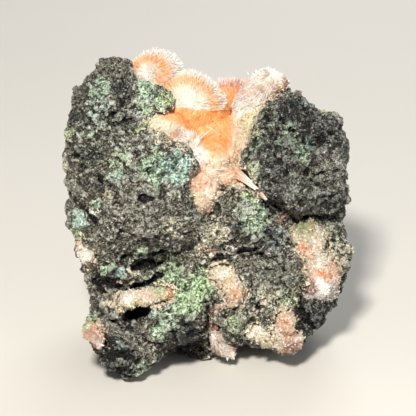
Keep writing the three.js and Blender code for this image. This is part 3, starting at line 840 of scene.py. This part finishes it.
# A fan has a middle on the face, a reach at each angle, and colours from its middle to its tips. The colours
# follow "tints" where it has them, or else its reach. A hedge is needles that stand out all over its rim.
fanFade = (0.96, 1.1)  # shares of its reach where a fan's colours begin to fade and are gone
fans = [
    {
        "name": "thomsonite_middle_fan", "middle": (-5.8, 38.8), "depth": 6,
        "needles": 4600, "width": 0.19, "length": (1.2, 3.2), "lift": 0.3, "stray": 0.09,
        "hedge": 1600, "hedgeWidth": 0.28, "slants": (-50, 12),
        "reach": [(-16, 8.4), (-6, 12.4), (6, 13.4), (25, 12.4), (45, 12.0), (70, 12.4), (90, 12.8),
                  (112, 13.2), (126, 13.6), (143, 11.4), (160, 8.2), (184, 5), (205, 2), (235, 1.2),
                  (275, 1.2), (315, 2.0), (336, 5)],
        "tints": [(-16, 13), (-6, 13), (6, 13.4), (25, 12.4), (45, 12.0), (70, 12.4), (90, 12.8),
                  (112, 13.8), (126, 14.8), (143, 14.8), (160, 13.4), (184, 12), (205, 10), (235, 9),
                  (275, 9), (315, 10), (336, 12)],
        "stops": [(0, "#fbf4e6"), (0.42, "#fcf5e8"), (0.54, "#fce6c8"), (0.66, "#fbc48f"),
                  (0.75, "#fbbf88"), (0.81, "#fcdcc0"), (0.86, "#fdf6ee"), (1, "#fffefa")],
    },
    {
        "name": "thomsonite_left_fan", "middle": (-20.6, 50.0), "depth": 4,
        "needles": 3300, "width": 0.19, "length": (1.2, 2.8), "lift": 0.25, "stray": 0.12, "start": 0.02,
        "hedge": 1100, "hedgeWidth": 0.28, "slants": (-50, 12),
        "reach": [(-12, 11), (0, 12.5), (10, 13), (25, 12.6), (45, 11.2), (70, 9.8), (90, 8.4), (120, 7),
                  (150, 6.4), (182, 5), (215, 4), (270, 3), (310, 4), (340, 8)],
        "tints": [(-12, 12), (0, 13), (10, 13), (25, 12.6), (45, 11.4), (70, 10.6), (90, 10), (120, 9.4),
                  (150, 10), (182, 12), (215, 14), (270, 14), (310, 12), (340, 12)],
        "stops": [(0, "#fffaf0"), (0.28, "#fdf0e2"), (0.4, "#fbcca0"), (0.52, "#fbb880"), (0.62, "#fcc294"),
                  (0.7, "#fdecdc"), (0.78, "#fdf8f0"), (1, "#fffefa")],
    },
    {
        "name": "thomsonite_back_fan", "middle": (8.8, 36.4), "depth": -1,
        "needles": 2000, "width": 0.17, "length": (1.2, 2.8), "lift": 0.12, "stray": 0.06, "calm": 0.5,
        "hedge": 500, "hedgeWidth": 0.16, "slants": (-60, 20),
        "reach": [(20, 8), (35, 10), (50, 11.8), (64, 13.4), (78, 13.4), (90, 13.0), (110, 13.2),
                  (128, 12.5)],
        "stops": [(0, "#fba668"), (0.55, "#fbb074"), (0.72, "#f8b893"), (0.86, "#f3cdbc"), (1, "#f8ebe6")],
    },
    {
        "name": "mesolite_wing_spray", "middle": (24.4, 50.4),
        "needles": 2300, "width": 0.2, "length": (1.8, 4.2), "lift": 0.2, "stray": 0.1, "start": 0.36,
        "droop": -0.3, "crowd": 0.6, "calm": 0.4, "climb": 0.8, "cover": 0.55,
        "reach": [(150, 4), (180, 7), (200, 11), (206, 14), (211, 17), (217, 19.8), (223, 21.2),
                  (229, 20.4), (234, 17.3), (240, 13), (256, 6)],
        "stops": [(0, "#f3d8c4"), (0.16, "#eccbb0"), (0.34, "#f3dac6"), (0.56, "#fcf4ea"), (1, "#fffcf6")],
    },
    {
        "name": "mesolite_wing_edge", "middle": (17.5, 41.5),
        "needles": 700, "width": 0.15, "length": (1.2, 2.6), "lift": 0.2, "stray": 0.12, "start": 0.62,
        "cover": 0.9,
        "reach": [(108, 9), (120, 8.9), (140, 7.7), (158, 7.3), (176, 7.8), (192, 9)],
        "stops": [(0, "#f8ebdc"), (0.66, "#f4e2d6"), (0.82, "#dfc0b4"), (1, "#ecd6cc")],
    },
    {
        "name": "mesolite_wing_crest", "middle": (20.4, 43), "depth": 0,
        "needles": 1200, "width": 0.2, "length": (0.7, 1.6), "lift": 0.1, "stray": 0.7, "start": 0.2,
        "cover": 0.15, "hedge": 200, "hedgeWidth": 0.24, "slants": (-40, 10),
        "reach": [(34, 8.6), (46, 9.2), (60, 9.6), (72, 10.4), (84, 8.8), (110, 7.6), (140, 7.0), (175, 6)],
        "stops": [(0, "#f5e2d0"), (0.35, "#f6e4d8"), (0.6, "#fbf4ee"), (0.8, "#fffcf8"), (1, "#ffffff")],
    },
    {
        "name": "thomsonite_bowl_fan", "middle": (-1, 43),
        "needles": 3800, "width": 0.16, "length": (1.0, 2.6), "lift": 0.0, "stray": 0.08, "start": 0.3,
        "under": "thomsonite_middle_fan", "calm": 0.7,
        "reach": [(200, 14), (209, 18), (226, 15.8), (252, 15.7), (268, 18.4), (279, 24), (292, 24),
                  (306, 17.6), (322, 14.4), (337, 11.6)],
        "stops": [(0, "#faac6c"), (0.3, "#fbab68"), (0.5, "#fcb274"), (0.8, "#fcb274"), (0.87, "#fbb880"),
                  (0.94, "#f8cba6"), (1, "#f6dac2")],
    },
    {
        "name": "mesolite_bowl_spray", "middle": (-4.6, 23.4), "cover": 0.3,
        "needles": 330, "width": 0.2, "length": (2.0, 4.0), "lift": 0.7, "stray": 0.14,
        "reach": [(40, 4.4), (60, 5.6), (90, 7), (120, 7), (150, 6.4), (180, 4)],
        "stops": [(0, "#f6dcc8"), (0.4, "#faeade"), (0.7, "#fffaf4"), (1, "#ffffff")],
    },
    {
        "name": "mesolite_arm_spray", "middle": (-10.5, 27), "cover": 0.25,
        "needles": 420, "width": 0.18, "length": (1.6, 3.2), "lift": 0.6, "stray": 0.24,
        "reach": [(20, 5), (50, 5.4), (80, 5), (110, 4.6), (150, 4.4), (185, 4)],
        "stops": [(0, "#eec4a0"), (0.4, "#f3d6bc"), (0.7, "#faecdc"), (1, "#fff8ee")],
    },
]
needleHabit = {
    "widths": (0.7, 1.35),  # shares of the fan's width
    "tips": (0.96, 1.03),  # shares of its reach
    "hedgeTips": (0.9, 1.05),
    "steeper": (0.04, 0.07),  # than the surface below: mean and spread
    "sunk": 0.3,
    "ahead": 1.5,  # how far on the surface's slope is read
    "nothing": -20,  # the height where the surface ends
}
loneNeedle = {"tint": "#fffaf4", "tone": 0.9, "sunk": 0.2, "rise": 1.2}
loneNeedles = [  # root, tip and thickness of the mesolite needles that stand by themselves
    ((-2.8, 26.6), (2.1, 30.6), 0.19), ((1.0, 31.4), (3.6, 29.3), 0.13), ((-3.4, 26.9), (-1.0, 29.2), 0.14),
    ((1.4, 16.2), (7.6, 16.9), 0.16), ((4.2, 14.4), (8.4, 15.4), 0.14), ((-5.4, 26.2), (-5.9, 29.4), 0.14),
]
rods = [  # thick mesolite crystals, each a bundle: root and tip on the face, thickness, strands, colours
    ((9.4, 16.2, 21.8), (17.4, 9.8, 23.4), 1.4, 15, "#cf9f80", "#fbf4ea"),
    ((18.4, 8.4, 22.4), (20.4, 6.2, 22.4), 0.7, 9, "#c9a594", "#e6d6cc"),
]
rodHabit = {  # shares of a rod's thickness, and of its length where the strands begin and end
    "spread": 0.32, "rootSpread": 0.8, "tipSpread": 0.6, "widths": (0.45, 0.85),
    "begin": (-0.1, 0.25), "end": (-0.3, 0.05),
}
crustTones = [  # the broken crust between the fans: place on the face, and its colour there
    ((-20.5, 49), "#f4ecda"), ((-19, 31.5), "#d3d0b4"), ((-9, 26.5), "#ecdecb"), ((-14, 29), "#e2d4bd"),
    ((3.2, 19.2), "#e0c4ac"), ((-2, 22), "#f2eae4"), ((1.5, 24), "#ecc0a0"), ((-4, 15), "#dfbea4"),
    ((-2, 11), "#dcae92"), ((-3.5, 7), "#dccbaa"), ((0.5, 6), "#dabfa8"), ((3, 14.5), "#e4ccb6"),
    ((7.5, 15), "#e0b89c"), ((12, 13.5), "#d8aa90"), ((11.5, 27), "#d6c2a6"), ((12, 20), "#d0b89c"),
    ((15.5, 33), "#dfd3ae"), ((16, 30), "#cfc09a"), ((27.5, 47.5), "#c9a288"), ((8, 17.5), "#d8bfa4"),
    ((25.5, 45.5), "#dcbfa8"), ((9, 23), "#d2b298"), ((21, 51), "#f6f0ea"), ((16, 46.5), "#f4ece2"),
    ((21, 43), "#ebd2bc"), ((24, 50.5), "#efe6dc"), ((17, 37.5), "#efe2c4"), ((0.8, 8.4), "#f0e2d2"),
]


def reachAt(fan, angles, key="reach"):
    places, reaches = zip(*fan.get(key, fan["reach"]))
    return np.interp(angles, places, reaches)


def shareOfFan(fan, face, key="reach"):  # 0 in a fan's middle, 1 at its tips, and over 1 outside it
    away = face[:, :2] - fan["middle"]
    angles = np.degrees(np.arctan2(away[:, 1], away[:, 0]))
    first, last = fan["reach"][0][0], fan["reach"][-1][0]
    angles = first + (angles - first) % 360
    beyond = np.minimum(angles - last, 360 - (angles - first))
    outside = np.where(angles > last, 0.06 * np.maximum(beyond, 0), 0)
    return np.linalg.norm(away, axis=1) / reachAt(fan, np.minimum(angles, last), key) + outside


def blend(tones, face):  # the colour at each place, blended between tones that lie near it
    away = [np.sum((face[:, :2] - place) ** 2, axis=1) for place, _ in tones]
    nearness = np.column_stack([1 / (0.3 + far) ** 2 for far in away])
    nearness /= nearness.sum(1, keepdims=True)
    return nearness @ np.array([linear(hexCode) for _, hexCode in tones])


def fanTint(face):  # the fans' colours over the broken crust's, and how much of a fan there is at each place
    tint = blend(crustTones, face)
    covered = np.zeros(len(face))
    for fan in reversed(fans):
        share = shareOfFan(fan, face)
        start = fan.get("start", 0)
        here = (1 - smoothstep(share, *fanFade)) * smoothstep(share, start - 0.2, start)
        here *= fan.get("cover", 1)
        colours = along(fan["stops"], shareOfFan(fan, face, "tints"))
        tint = tint * (1 - here)[:, None] + colours * here[:, None]
        covered = np.maximum(covered, here)
    return tint, covered


def ball(middle, reach):
    bpy.ops.mesh.primitive_uv_sphere_add(segments=32, ring_count=20, radius=mm)
    piece = bpy.context.object
    piece.location = fromFace(middle)[0]
    piece.rotation_euler = (math.pi / 2 - leanBack, 0, 0)
    piece.scale = reach
    bpy.ops.object.transform_apply()
    return piece


def joined(name, pieces):
    only(*pieces)
    bpy.ops.object.join()
    bpy.context.object.name = name
    return bpy.context.object


def makeCrustBody():
    piece = joined("thomsonite_crust", [ball(middle, reach) for middle, reach in crustMasses])
    oneSkin(piece, crust)
    roughen(piece, "crust lumps", crust["lumps"])
    group = "broken crust"
    covered = fanTint(toFace(pointsOf(piece)))[1]
    weigh(piece, group, 0.15 + 0.85 * (1 - covered))  # calmer under the fans
    roughen(piece, "crust grain", crust["grain"], group)
    roughen(piece, "crust fine", crust["fine"], group)
    keepInBox(piece)
    paint(piece, "tint", fanTint(toFace(pointsOf(piece)))[0])
    paint(piece, "tone", random.uniform(0.35, 0.65, len(piece.data.vertices)))
    shadeSmooth(piece, 40)
    return piece


class Ground:  # how far out of the face a piece's surface lies
    def __init__(self, piece):
        corners = toFace(pointsOf(piece)).tolist()
        self.tree = BVHTree.FromPolygons(corners, [list(face.vertices) for face in piece.data.polygons])

    def heights(self, places, above=60):
        down = Vector((0, 0, -1))
        found = [self.tree.ray_cast(Vector((x, y, above)), down)[0] for x, y in places]
        return np.array([hit.z if hit else np.nan for hit in found])


def pickAngles(fan, count):  # more of them where the fan reaches further
    grid = np.linspace(fan["reach"][0][0], fan["reach"][-1][0], 300)
    weights = reachAt(fan, grid) ** 2
    step = grid[1] - grid[0]
    return random.choice(grid, count, p=weights / weights.sum()) + random.uniform(-step, step, count)


def combedNeedles(fan, ground):  # needles that lie on the surface and point away from the fan's middle
    count = fan["needles"]
    angles = pickAngles(fan, count)
    reach = reachAt(fan, angles)
    first = fan.get("start", 0.1)
    crowd = fan.get("crowd", 0.5)  # more needles towards the middle as it grows
    atTip = random.uniform(first ** (1 / crowd), 1, count) ** crowd * reach
    atTip *= random.uniform(*needleHabit["tips"], count)
    lengths = np.minimum(random.uniform(*fan["length"], count), atTip)
    atRoot = atTip - lengths
    turn = np.radians(angles)
    ways = np.column_stack((np.cos(turn), np.sin(turn)))
    roots = fan["middle"] + ways * atRoot[:, None]
    heights = ground.heights(roots)
    step = needleHabit["ahead"]
    ahead = np.nan_to_num(ground.heights(roots + ways * step), nan=needleHabit["nothing"])
    slope = np.clip((ahead - heights) / step, fan.get("droop", -0.4), fan.get("climb", 0.6))
    slope += random.normal(*needleHabit["steeper"], count) + fan["lift"] / np.maximum(lengths, step)
    turn += random.normal(0, fan["stray"], count)
    ways = np.column_stack((np.cos(turn), np.sin(turn)))
    there = ~np.isnan(heights)
    for other in fans:
        if other["name"] == fan.get("under"):
            middles = np.column_stack((roots + ways * lengths[:, None] * 0.5, heights))
            there &= shareOfFan(other, middles) > 0.9
    starts = np.column_stack((roots, heights - needleHabit["sunk"]))
    ends = np.column_stack((roots + ways * lengths[:, None], heights + slope * lengths))
    widths = fan["width"] * random.uniform(*needleHabit["widths"], count)
    reach = reachAt(fan, angles, "tints")
    return starts[there], ends[there], (atRoot / reach)[there], (atTip / reach)[there], widths[there]


def hedgeNeedles(fan):  # needles that stand out all over the rim of a ball, to its front and back
    count = fan["hedge"]
    angles = pickAngles(fan, count)
    reach = reachAt(fan, angles)
    slants = np.radians(random.uniform(*fan["slants"], count))
    turn = np.radians(angles)
    ways = np.column_stack((np.cos(turn) * np.cos(slants), np.sin(turn) * np.cos(slants), np.sin(slants)))
    ways = unit(ways + random.normal(0, 0.8 * fan["stray"], (count, 3)))
    atTip = reach * random.uniform(*needleHabit["hedgeTips"], count)
    atRoot = atTip - random.uniform(*fan["length"], count)
    middle = np.array((*fan["middle"], fan["depth"]))
    starts, ends = middle + ways * atRoot[:, None], middle + ways * atTip[:, None]
    widths = fan["hedgeWidth"] * random.uniform(*needleHabit["widths"], count)
    reach = reachAt(fan, angles, "tints")
    return starts, ends, atRoot / reach, atTip / reach, widths


def makeFan(fan, ground, shape):
    parts = [combedNeedles(fan, ground)]
    if "hedge" in fan:
        parts.append(hedgeNeedles(fan))
    starts, ends, rootShare, tipShare, widths = (np.concatenate(lists) for lists in zip(*parts))
    piece = plant(fan["name"], shape, fromFace(starts), fromFace(ends), widths * mm)
    keepInBox(piece)
    tint = perCorner(shape, along(fan["stops"], rootShare), along(fan["stops"], tipShare))
    calm = fan.get("calm", 0)  # how much of a middle tone there is in every needle's own
    return tinted(piece, tint, perCorner(shape, 0.5 * calm + (1 - calm) * random.random(len(starts))))


def makeCrustChips(body, shape):  # broken crystals all over the crust between the fans
    covered = fanTint(toFace(pointsOf(body)))[1]
    places, out = scatter(body, crustChips["count"], 0.03 + 0.97 * (1 - covered))
    piece = growOn("thomsonite_chips", shape, places, out, crustChips)
    keepInBox(piece)
    tint = perCorner(shape, fanTint(toFace(places))[0])
    return tinted(piece, tint, perCorner(shape, random.random(len(places))))


def makeLoneNeedles(ground, shape):
    places = np.array([(*root, *tip) for root, tip, _ in loneNeedles])
    heights = ground.heights(places[:, :2])
    above = np.maximum(heights, ground.heights(places[:, 2:]))
    roots = np.column_stack((places[:, :2], heights - loneNeedle["sunk"]))
    tips = np.column_stack((places[:, 2:], above + loneNeedle["rise"]))
    thick = np.array([thick for _, _, thick in loneNeedles]) * mm
    piece = plant("mesolite_needles", shape, fromFace(roots), fromFace(tips), thick)
    corners = len(piece.data.vertices)
    tint = np.tile(linear(loneNeedle["tint"]), (corners, 1))
    return tinted(piece, tint, np.full(corners, loneNeedle["tone"]))


def makeRods(shape):
    starts, ends, widths, rootTints, tipTints = [], [], [], [], []
    for root, tip, thick, strands, rootTint, tipTint in rods:
        axis = np.subtract(tip, root)
        away = random.normal(0, rodHabit["spread"] * thick, (strands, 3))
        begin, end = (np.outer(random.uniform(*rodHabit[key], strands), axis) for key in ("begin", "end"))
        starts.append(root + away * rodHabit["rootSpread"] + begin)
        ends.append(tip + away * rodHabit["tipSpread"] + end)
        widths.append(thick * random.uniform(*rodHabit["widths"], strands))
        rootTints.append(np.tile(linear(rootTint), (strands, 1)))
        tipTints.append(np.tile(linear(tipTint), (strands, 1)))
    starts, ends, widths = np.concatenate(starts), np.concatenate(ends), np.concatenate(widths)
    piece = plant("mesolite_rods", shape, fromFace(starts), fromFace(ends), widths * mm)
    tint = perCorner(shape, np.concatenate(rootTints), np.concatenate(tipTints))
    return tinted(piece, tint, perCorner(shape, random.random(len(starts))))


def crystalFinish(name, rough, glow, grainSize, tones, strays=0.0, specks=0.0):
    radius = (0.9, 0.5, 0.3)
    finish = Finish(name, Subsurface_Weight=glow, Subsurface_Radius=radius, Subsurface_Scale=0.8 * mm)
    tint = finish.attribute("tint", "Color")
    tone = finish.attribute("tone")
    if strays:  # some crystals are white, and some stained
        tint = finish.mix(tint, crystalColours["white"], finish.spread(tone, 0.66, 0.95, (0, strays)))
        tint = finish.mix(tint, crystalColours["stained"], finish.spread(tone, 0.22, 0.0, (0, 0.5 * strays)))
    tone = tone + 0.9 * (finish.noise(grainSize, 3, 0.7) - 0.5)
    value = finish.spread(tone, 0, 1, tones)
    shade = finish.add("HueSaturation", {}, {"Color": tint, "Value": value, "Saturation": 1.08 - 0.12 * tone})
    if specks:
        speck = finish.part(finish.cells(0.55, "Color"))
        patch = finish.noise(2.6, 4, 0.75)
        dusty, gapShade, glintWhite = (crystalColours[key] for key in ("dusty", "gapShade", "glintWhite"))
        # Dusty patches, then painted shade in the gaps between grains and painted glints on them.
        shade = finish.mix(shade, dusty, finish.spread(patch, 0.52, 0.68, (0, specks)))
        shade = finish.mix(shade, gapShade, finish.spread(speck + patch, 0.56, 0.4, (0, specks)))
        shade = finish.mix(shade, glintWhite, finish.spread(speck, 0.84, 0.93, (0, specks)))
    finish.wear(Base_Color=shade, Roughness=rough + 0.25 * (finish.noise(grainSize, 1) - 0.5))
    finish.wear(Normal=finish.bump(finish.noise(0.5 * grainSize, 2, 0.7), 0.1))
    return finish


crustBody = makeCrustBody()
crustGround = Ground(crustBody)
fineNeedle, thickNeedle = needleShape(3, 0.12), needleShape(6, 0.35)
silky = crystalFinish("silky needles", rough=0.42, glow=0.06, grainSize=1.0, tones=(0.78, 1.02))
common = {"rough": 0.5, "grainSize": 0.9, "strays": 0.3}
broken = crystalFinish("broken crystal", glow=0.25, tones=(0.74, 1.1), specks=0.25, **common)
coarse = crystalFinish("coarse crystal", glow=0.15, tones=(0.7, 1.12), specks=0.6, **common)
needlePieces = [makeFan(fan, crustGround, fineNeedle) for fan in fans]
needlePieces += [makeLoneNeedles(crustGround, thickNeedle), makeRods(thickNeedle)]
brokenPieces = [crustBody, makeCrustChips(crustBody, chip)]
for pieces, finish in ((needlePieces, silky), (brokenPieces, broken)):
    for piece in pieces:
        wearFinish(piece, finish, "thomsonite_mesolite_crust")
print("crust:", sum(len(piece.data.polygons) for piece in needlePieces + brokenPieces), "faces")


# The small crusts, each alone in its own pocket

smallCrusts = [  # lumps: place on the face and reach; tones: place on the face, and the colour there
    {
        "node": "thomsonite_right_pocket", "name": "right_pocket_crystals", "chips": 2600, "blades": 260,
        "lumps": [(33.4, -3.6, 3.6, 2.6), (30.9, -7.1, 2.6, 3.4), (40.1, -4.7, 3.6, 3.6),
                  (33.4, -11, 3.4, 2.4), (38.5, -10, 4.4, 5), (40.4, -15, 4.4, 5), (44.3, -18.1, 3.2, 2.4),
                  (34.6, -15.6, 3, 2.2), (36.8, -27.4, 3.2, 1.6), (40.6, -24.6, 2.6, 1.8)],
        "tones": [((33.2, -3.6), "#8f9a6c"), ((36.2, -3.4), "#a39a78"), ((30.9, -7.1), "#ddd2ba"),
                  ((40.1, -4.7), "#cfc8ba"), ((32.7, -10.8), "#d99a78"), ((37.2, -8), "#ddd0c0"),
                  ((39.4, -14.6), "#e8dcce"), ((43, -10), "#bdb79c"), ((44.4, -18.1), "#cda893"),
                  ((40.1, -19.5), "#d8956f"), ((39.4, -21.8), "#f6f2ec"), ((40.6, -24.6), "#f2efec"),
                  # The two grey tones at its lower right end are painted shade on the underside there.
                  ((44.6, -25), "#8b8480"), ((42, -28.5), "#87807f"), ((37, -27.8), "#b3acac"),
                  ((36.5, -23.4), "#94675a"), ((34.2, -16), "#bba289"), ((36, -13), "#d2bda6")],
    },
    {
        "node": "thomsonite_right_foot", "name": "right_foot_crystals", "chips": 2300, "blades": 220,
        "lumps": [(16.4, -39.4, 3.4, 2), (21, -38, 4.4, 3.2), (26.5, -35.1, 3.4, 3),
                  (25.7, -32.4, 2.6, 1.8), (28, -40.2, 3.2, 3), (24.2, -42.8, 3.4, 2.2),
                  (21, -43.2, 3, 1.4), (32, -40, 1.8, 2.4), (13.4, -38.4, 2, 1.4)],
        "tones": [((16.4, -39.4), "#e6dfcd"), ((21, -38), "#ece6d8"), ((26.9, -35), "#dbac90"),
                  ((25, -32.4), "#d9c3a8"), ((29.6, -35.4), "#d8cab4"), ((28, -39.6), "#bb927a"),
                  ((24.4, -42.8), "#dccbb8"), ((28.6, -44.6), "#8c6858"), ((21, -43.4), "#b4ae90"),
                  ((32, -40), "#d4bcae"), ((24, -39.6), "#e4d6c4"), ((29.2, -36.8), "#c9a48c")],
    },
    {
        "node": "thomsonite_mid_pocket", "name": "mid_pocket_crystals", "chips": 1500, "blades": 140,
        "lumps": [(6.6, -19.2, 4, 2.4), (3.9, -18, 2.6, 1.8), (9, -23.8, 3, 3.2), (10.6, -26.4, 2.6, 2.4),
                  (7.8, -27, 2.2, 2.2), (6.6, -29.8, 3.8, 1.3), (11.7, -21.1, 1.4, 1.6),
                  (20.3, -28.1, 2.2, 2.4), (18.7, -25, 2, 1)],
        "tones": [((6, -19.2), "#ece6d8"), ((3.9, -18), "#dccdb4"), ((8.6, -23), "#e4c4a6"),
                  ((10.4, -26.2), "#cf9f82"), ((8, -27), "#cdb298"), ((6.6, -29.8), "#b5a18e"),
                  ((11.7, -21.1), "#e8e4d6"), ((20.3, -28.1), "#e0d6c2"), ((12.4, -29), "#948a7a"),
                  ((18.7, -25), "#d6d4c4"), ((7.4, -21.6), "#e4cdb2")],
    },
    {
        "node": "thomsonite_ledge", "name": "ledge_crystals", "chips": 1600, "blades": 150,
        "lumps": [(-26.3, -27.7, 3.4, 3), (-27.8, -30, 1.8, 2), (-20.9, -25.6, 3.4, 1.7),
                  (-16.9, -26.4, 2.4, 1.1), (-12.9, -25.5, 2, 1.3), (-33.3, -26.2, 2.6, 1.1),
                  (-27.8, -21.4, 4.2, 0.9), (-23.8, -19, 2.2, 1.3)],
        "tones": [((-26.4, -28), "#f2ece4"), ((-27.8, -30.4), "#cfc3a4"), ((-21.4, -25.6), "#e8d4c2"),
                  ((-16.9, -27.2), "#ddcab6"), ((-12.5, -25.5), "#c99c7a"), ((-15.4, -25), "#b7c29c"),
                  ((-33.3, -26.2), "#b3a68c"), ((-27.8, -21.4), "#b9a894"), ((-23.8, -19), "#d2c4b0"),
                  ((-23.6, -29.6), "#c4bb94")],
    },
    {
        "node": "thomsonite_left_edge", "name": "left_edge_crystals", "chips": 620, "blades": 140,
        "lumps": [(-41.7, -9.9, 2.4, 2.8), (-41, -13, 1.5, 2.6), (-40, -17, 1.1, 3)],
        "tones": [((-41.6, -9), "#efe6dc"), ((-41, -13), "#f2ece2"), ((-43.4, -8), "#dcbca2"),
                  ((-40, -17), "#a3917e"), ((-39, -19), "#9a8a78")],
    },
    {
        "node": "thomsonite_left_foot", "name": "left_foot_crystals", "chips": 90, "blades": 10,
        "lumps": [(-40.6, -36.4, 1.6, 1.8)],
        "tones": [((-38.5, -39), "#dfae94"), ((-40.8, -36), "#a9b892"), ((-36, -42.5), "#f0dfd0"),
                  ((-37, -37.4), "#d39c80"), ((-38.4, -43), "#7c564c"), ((-40, -40.6), "#e6d2c2")],
        "fan": {
            "middle": (-35.2, -43), "needles": 1100, "width": 0.16, "length": (1.6, 3.6), "lift": 0.1,
            "stray": 0.05, "climb": 1.2,
            "reach": [(100, 5.6), (112, 6.8), (127, 7.8), (143, 8.4), (156, 7.8)],
            "stops": [(0, "#fbf4ec"), (0.4, "#f5e4d6"), (0.7, "#dcab92"), (1, "#d2b098")],
        },
    },
    {
        "node": "thomsonite_arch_seam", "name": "arch_seam_crystals", "chips": 420, "blades": 70,
        "lumps": [(2, -33.6, 0.9, 2.6), (1.6, -38, 1, 3)],
        "tones": [((2, -33.4), "#6a3c32"), ((1.7, -37), "#9a6658"), ((1.4, -41), "#f0e4da"),
                  ((3.6, -42.6), "#c49e8e"), ((6, -45), "#ece0d8"), ((9.6, -44), "#8c6a5c"),
                  ((8.4, -47), "#f2e8e0"), ((4.2, -46.4), "#d8bcae")],
        "fan": {
            "middle": (0.8, -36.0), "needles": 360, "width": 0.16, "length": (1.6, 4.0), "lift": 0.25,
            "stray": 0.16,
            "reach": [(268, 7), (280, 11), (292, 13.2), (304, 14.2), (314, 12)],
            "stops": [(0, "#9a6658"), (0.35, "#d8beb0"), (0.6, "#f2e8e0"), (0.8, "#d9c2b4"), (1, "#b8988a")],
        },
    },
]
smallCrust = {
    "voxel": 0.5,
    "smoothing": 4,
    "lumps": {"basis": "VORONOI_F1", "size": 2.6, "height": -2.1, "depth": 1, "middle": 0.45},
    "grain": {"basis": "VORONOI_F1", "size": 1.2, "height": -1.1, "middle": 0.4},
    "kept": 0.6,  # share of its triangles
    "thickness": (0.22, 0.7),  # of a lump: share of its width, and what is added
    "sunk": 0.25,
}
smallChips = {"least": 0.35, "power": 1.5, "size": 1.45, "lean": 0.7, "sunk": 0.4, "tall": 0.6, "thick": 0.42}
smallBlades = {**smallChips, "size": 2.4, "lean": 0.9, "thick": 0.12}


def makeSmallCrust(settings, stone, chip, blade, needle):
    parts = [copyOfNode(settings["node"], settings["name"])]
    for x, y, wide, high in settings["lumps"]:
        share, added = smallCrust["thickness"]
        thick = share * min(wide, high) + added
        height = stone.heights([(x, y)])[0] - smallCrust["sunk"] * thick
        parts.append(ball((x, y, height), (wide, high, thick)))
    body = joined(settings["name"], parts)
    oneSkin(body, smallCrust)
    roughen(body, "small crust lumps", smallCrust["lumps"])
    roughen(body, "small crust grain", smallCrust["grain"])
    finishWith(body, "DECIMATE", ratio=smallCrust["kept"])
    keepInBox(body)
    shadeSmooth(body, 35)
    paint(body, "tint", blend(settings["tones"], toFace(pointsOf(body))))
    paint(body, "tone", random.uniform(0.3, 0.6, len(body.data.vertices)))
    parts = [body]
    if "fan" in settings:
        parts.append(makeFan({**settings["fan"], "name": settings["name"] + "_fan"}, Ground(body), needle))
    kinds = ((chip, settings["chips"], smallChips), (blade, settings["blades"], smallBlades))
    for shape, count, habit in kinds:
        places, out = scatter(body, count)
        part = growOn("crumbs", shape, places, out, habit)
        tint = perCorner(shape, blend(settings["tones"], toFace(places)))
        parts.append(tinted(part, tint, perCorner(shape, random.random(count))))
    piece = joined(settings["name"], parts)
    keepInBox(piece)
    return piece


blade = needleShape(4, 0.7)
stoneGround = Ground(basaltPiece)
shapes = (chip, blade, fineNeedle)
smallCrustPieces = [makeSmallCrust(settings, stoneGround, *shapes) for settings in smallCrusts]
for piece, settings in zip(smallCrustPieces, smallCrusts):
    wearFinish(piece, coarse, settings["node"])
print("small crusts:", sum(len(piece.data.polygons) for piece in smallCrustPieces), "faces")


# The studio

studio = {
    "distance": 0.7, "lens": 173, "elevation": 22, "aim": (0.00025, 0.00185, 0.04985),
    "floor": 6.0, "floorColours": ("#dedbd4", "#e6e4de"), "floorPatches": 300,
    "world": "#f0f0f0", "worldStrength": 0.2,
}
lights = [  # name, place, size, power, colour
    ("key", (-0.12, -0.74, 0.72), 0.12, 12.9, "#fff9f0"),
    ("fill", (0.8, -0.6, 0.4), 0.8, 1.9, "#f6f6fa"),
    ("rim", (0.2, 0.8, 0.7), 0.5, 4.0, "#ffffff"),
]


def makeStudio():
    bpy.ops.mesh.primitive_plane_add(size=studio["floor"], location=(0, 0, 0))
    floor = bpy.context.object
    floor.name = "floor"
    finish = Finish("floor", Roughness=0.85)
    finish.wear(Base_Color=finish.mix(*studio["floorColours"], finish.noise(studio["floorPatches"])))
    floor.data.materials.append(finish.material)
    aim = Vector(studio["aim"])
    for name, place, size, power, colour in lights:
        data = bpy.data.lights.new(name, "AREA")
        data.size = size
        data.energy = power
        data.color = linear(colour)
        light = bpy.data.objects.new(name, data)
        light.location = place
        light.rotation_euler = (aim - light.location).to_track_quat("-Z", "Y").to_euler()
        bpy.context.collection.objects.link(light)
    world = bpy.data.worlds.new("studio")
    world.use_nodes = True
    background = world.node_tree.nodes["Background"]
    background.inputs["Color"].default_value = (*linear(studio["world"]), 1)
    background.inputs["Strength"].default_value = studio["worldStrength"]
    bpy.context.scene.world = world
    camera = bpy.data.objects.new("camera", bpy.data.cameras.new("camera"))
    camera.data.lens = studio["lens"]
    camera.data.clip_start = 0.01
    elevation = math.radians(studio["elevation"])
    back = Vector((0, -math.cos(elevation), math.sin(elevation)))
    camera.location = aim + studio["distance"] * back
    camera.rotation_euler = (-back).to_track_quat("-Z", "Y").to_euler()
    bpy.context.collection.objects.link(camera)
    bpy.context.scene.camera = camera
    bpy.context.scene.view_settings.view_transform = "Standard"


makeStudio()
print("studio ready")
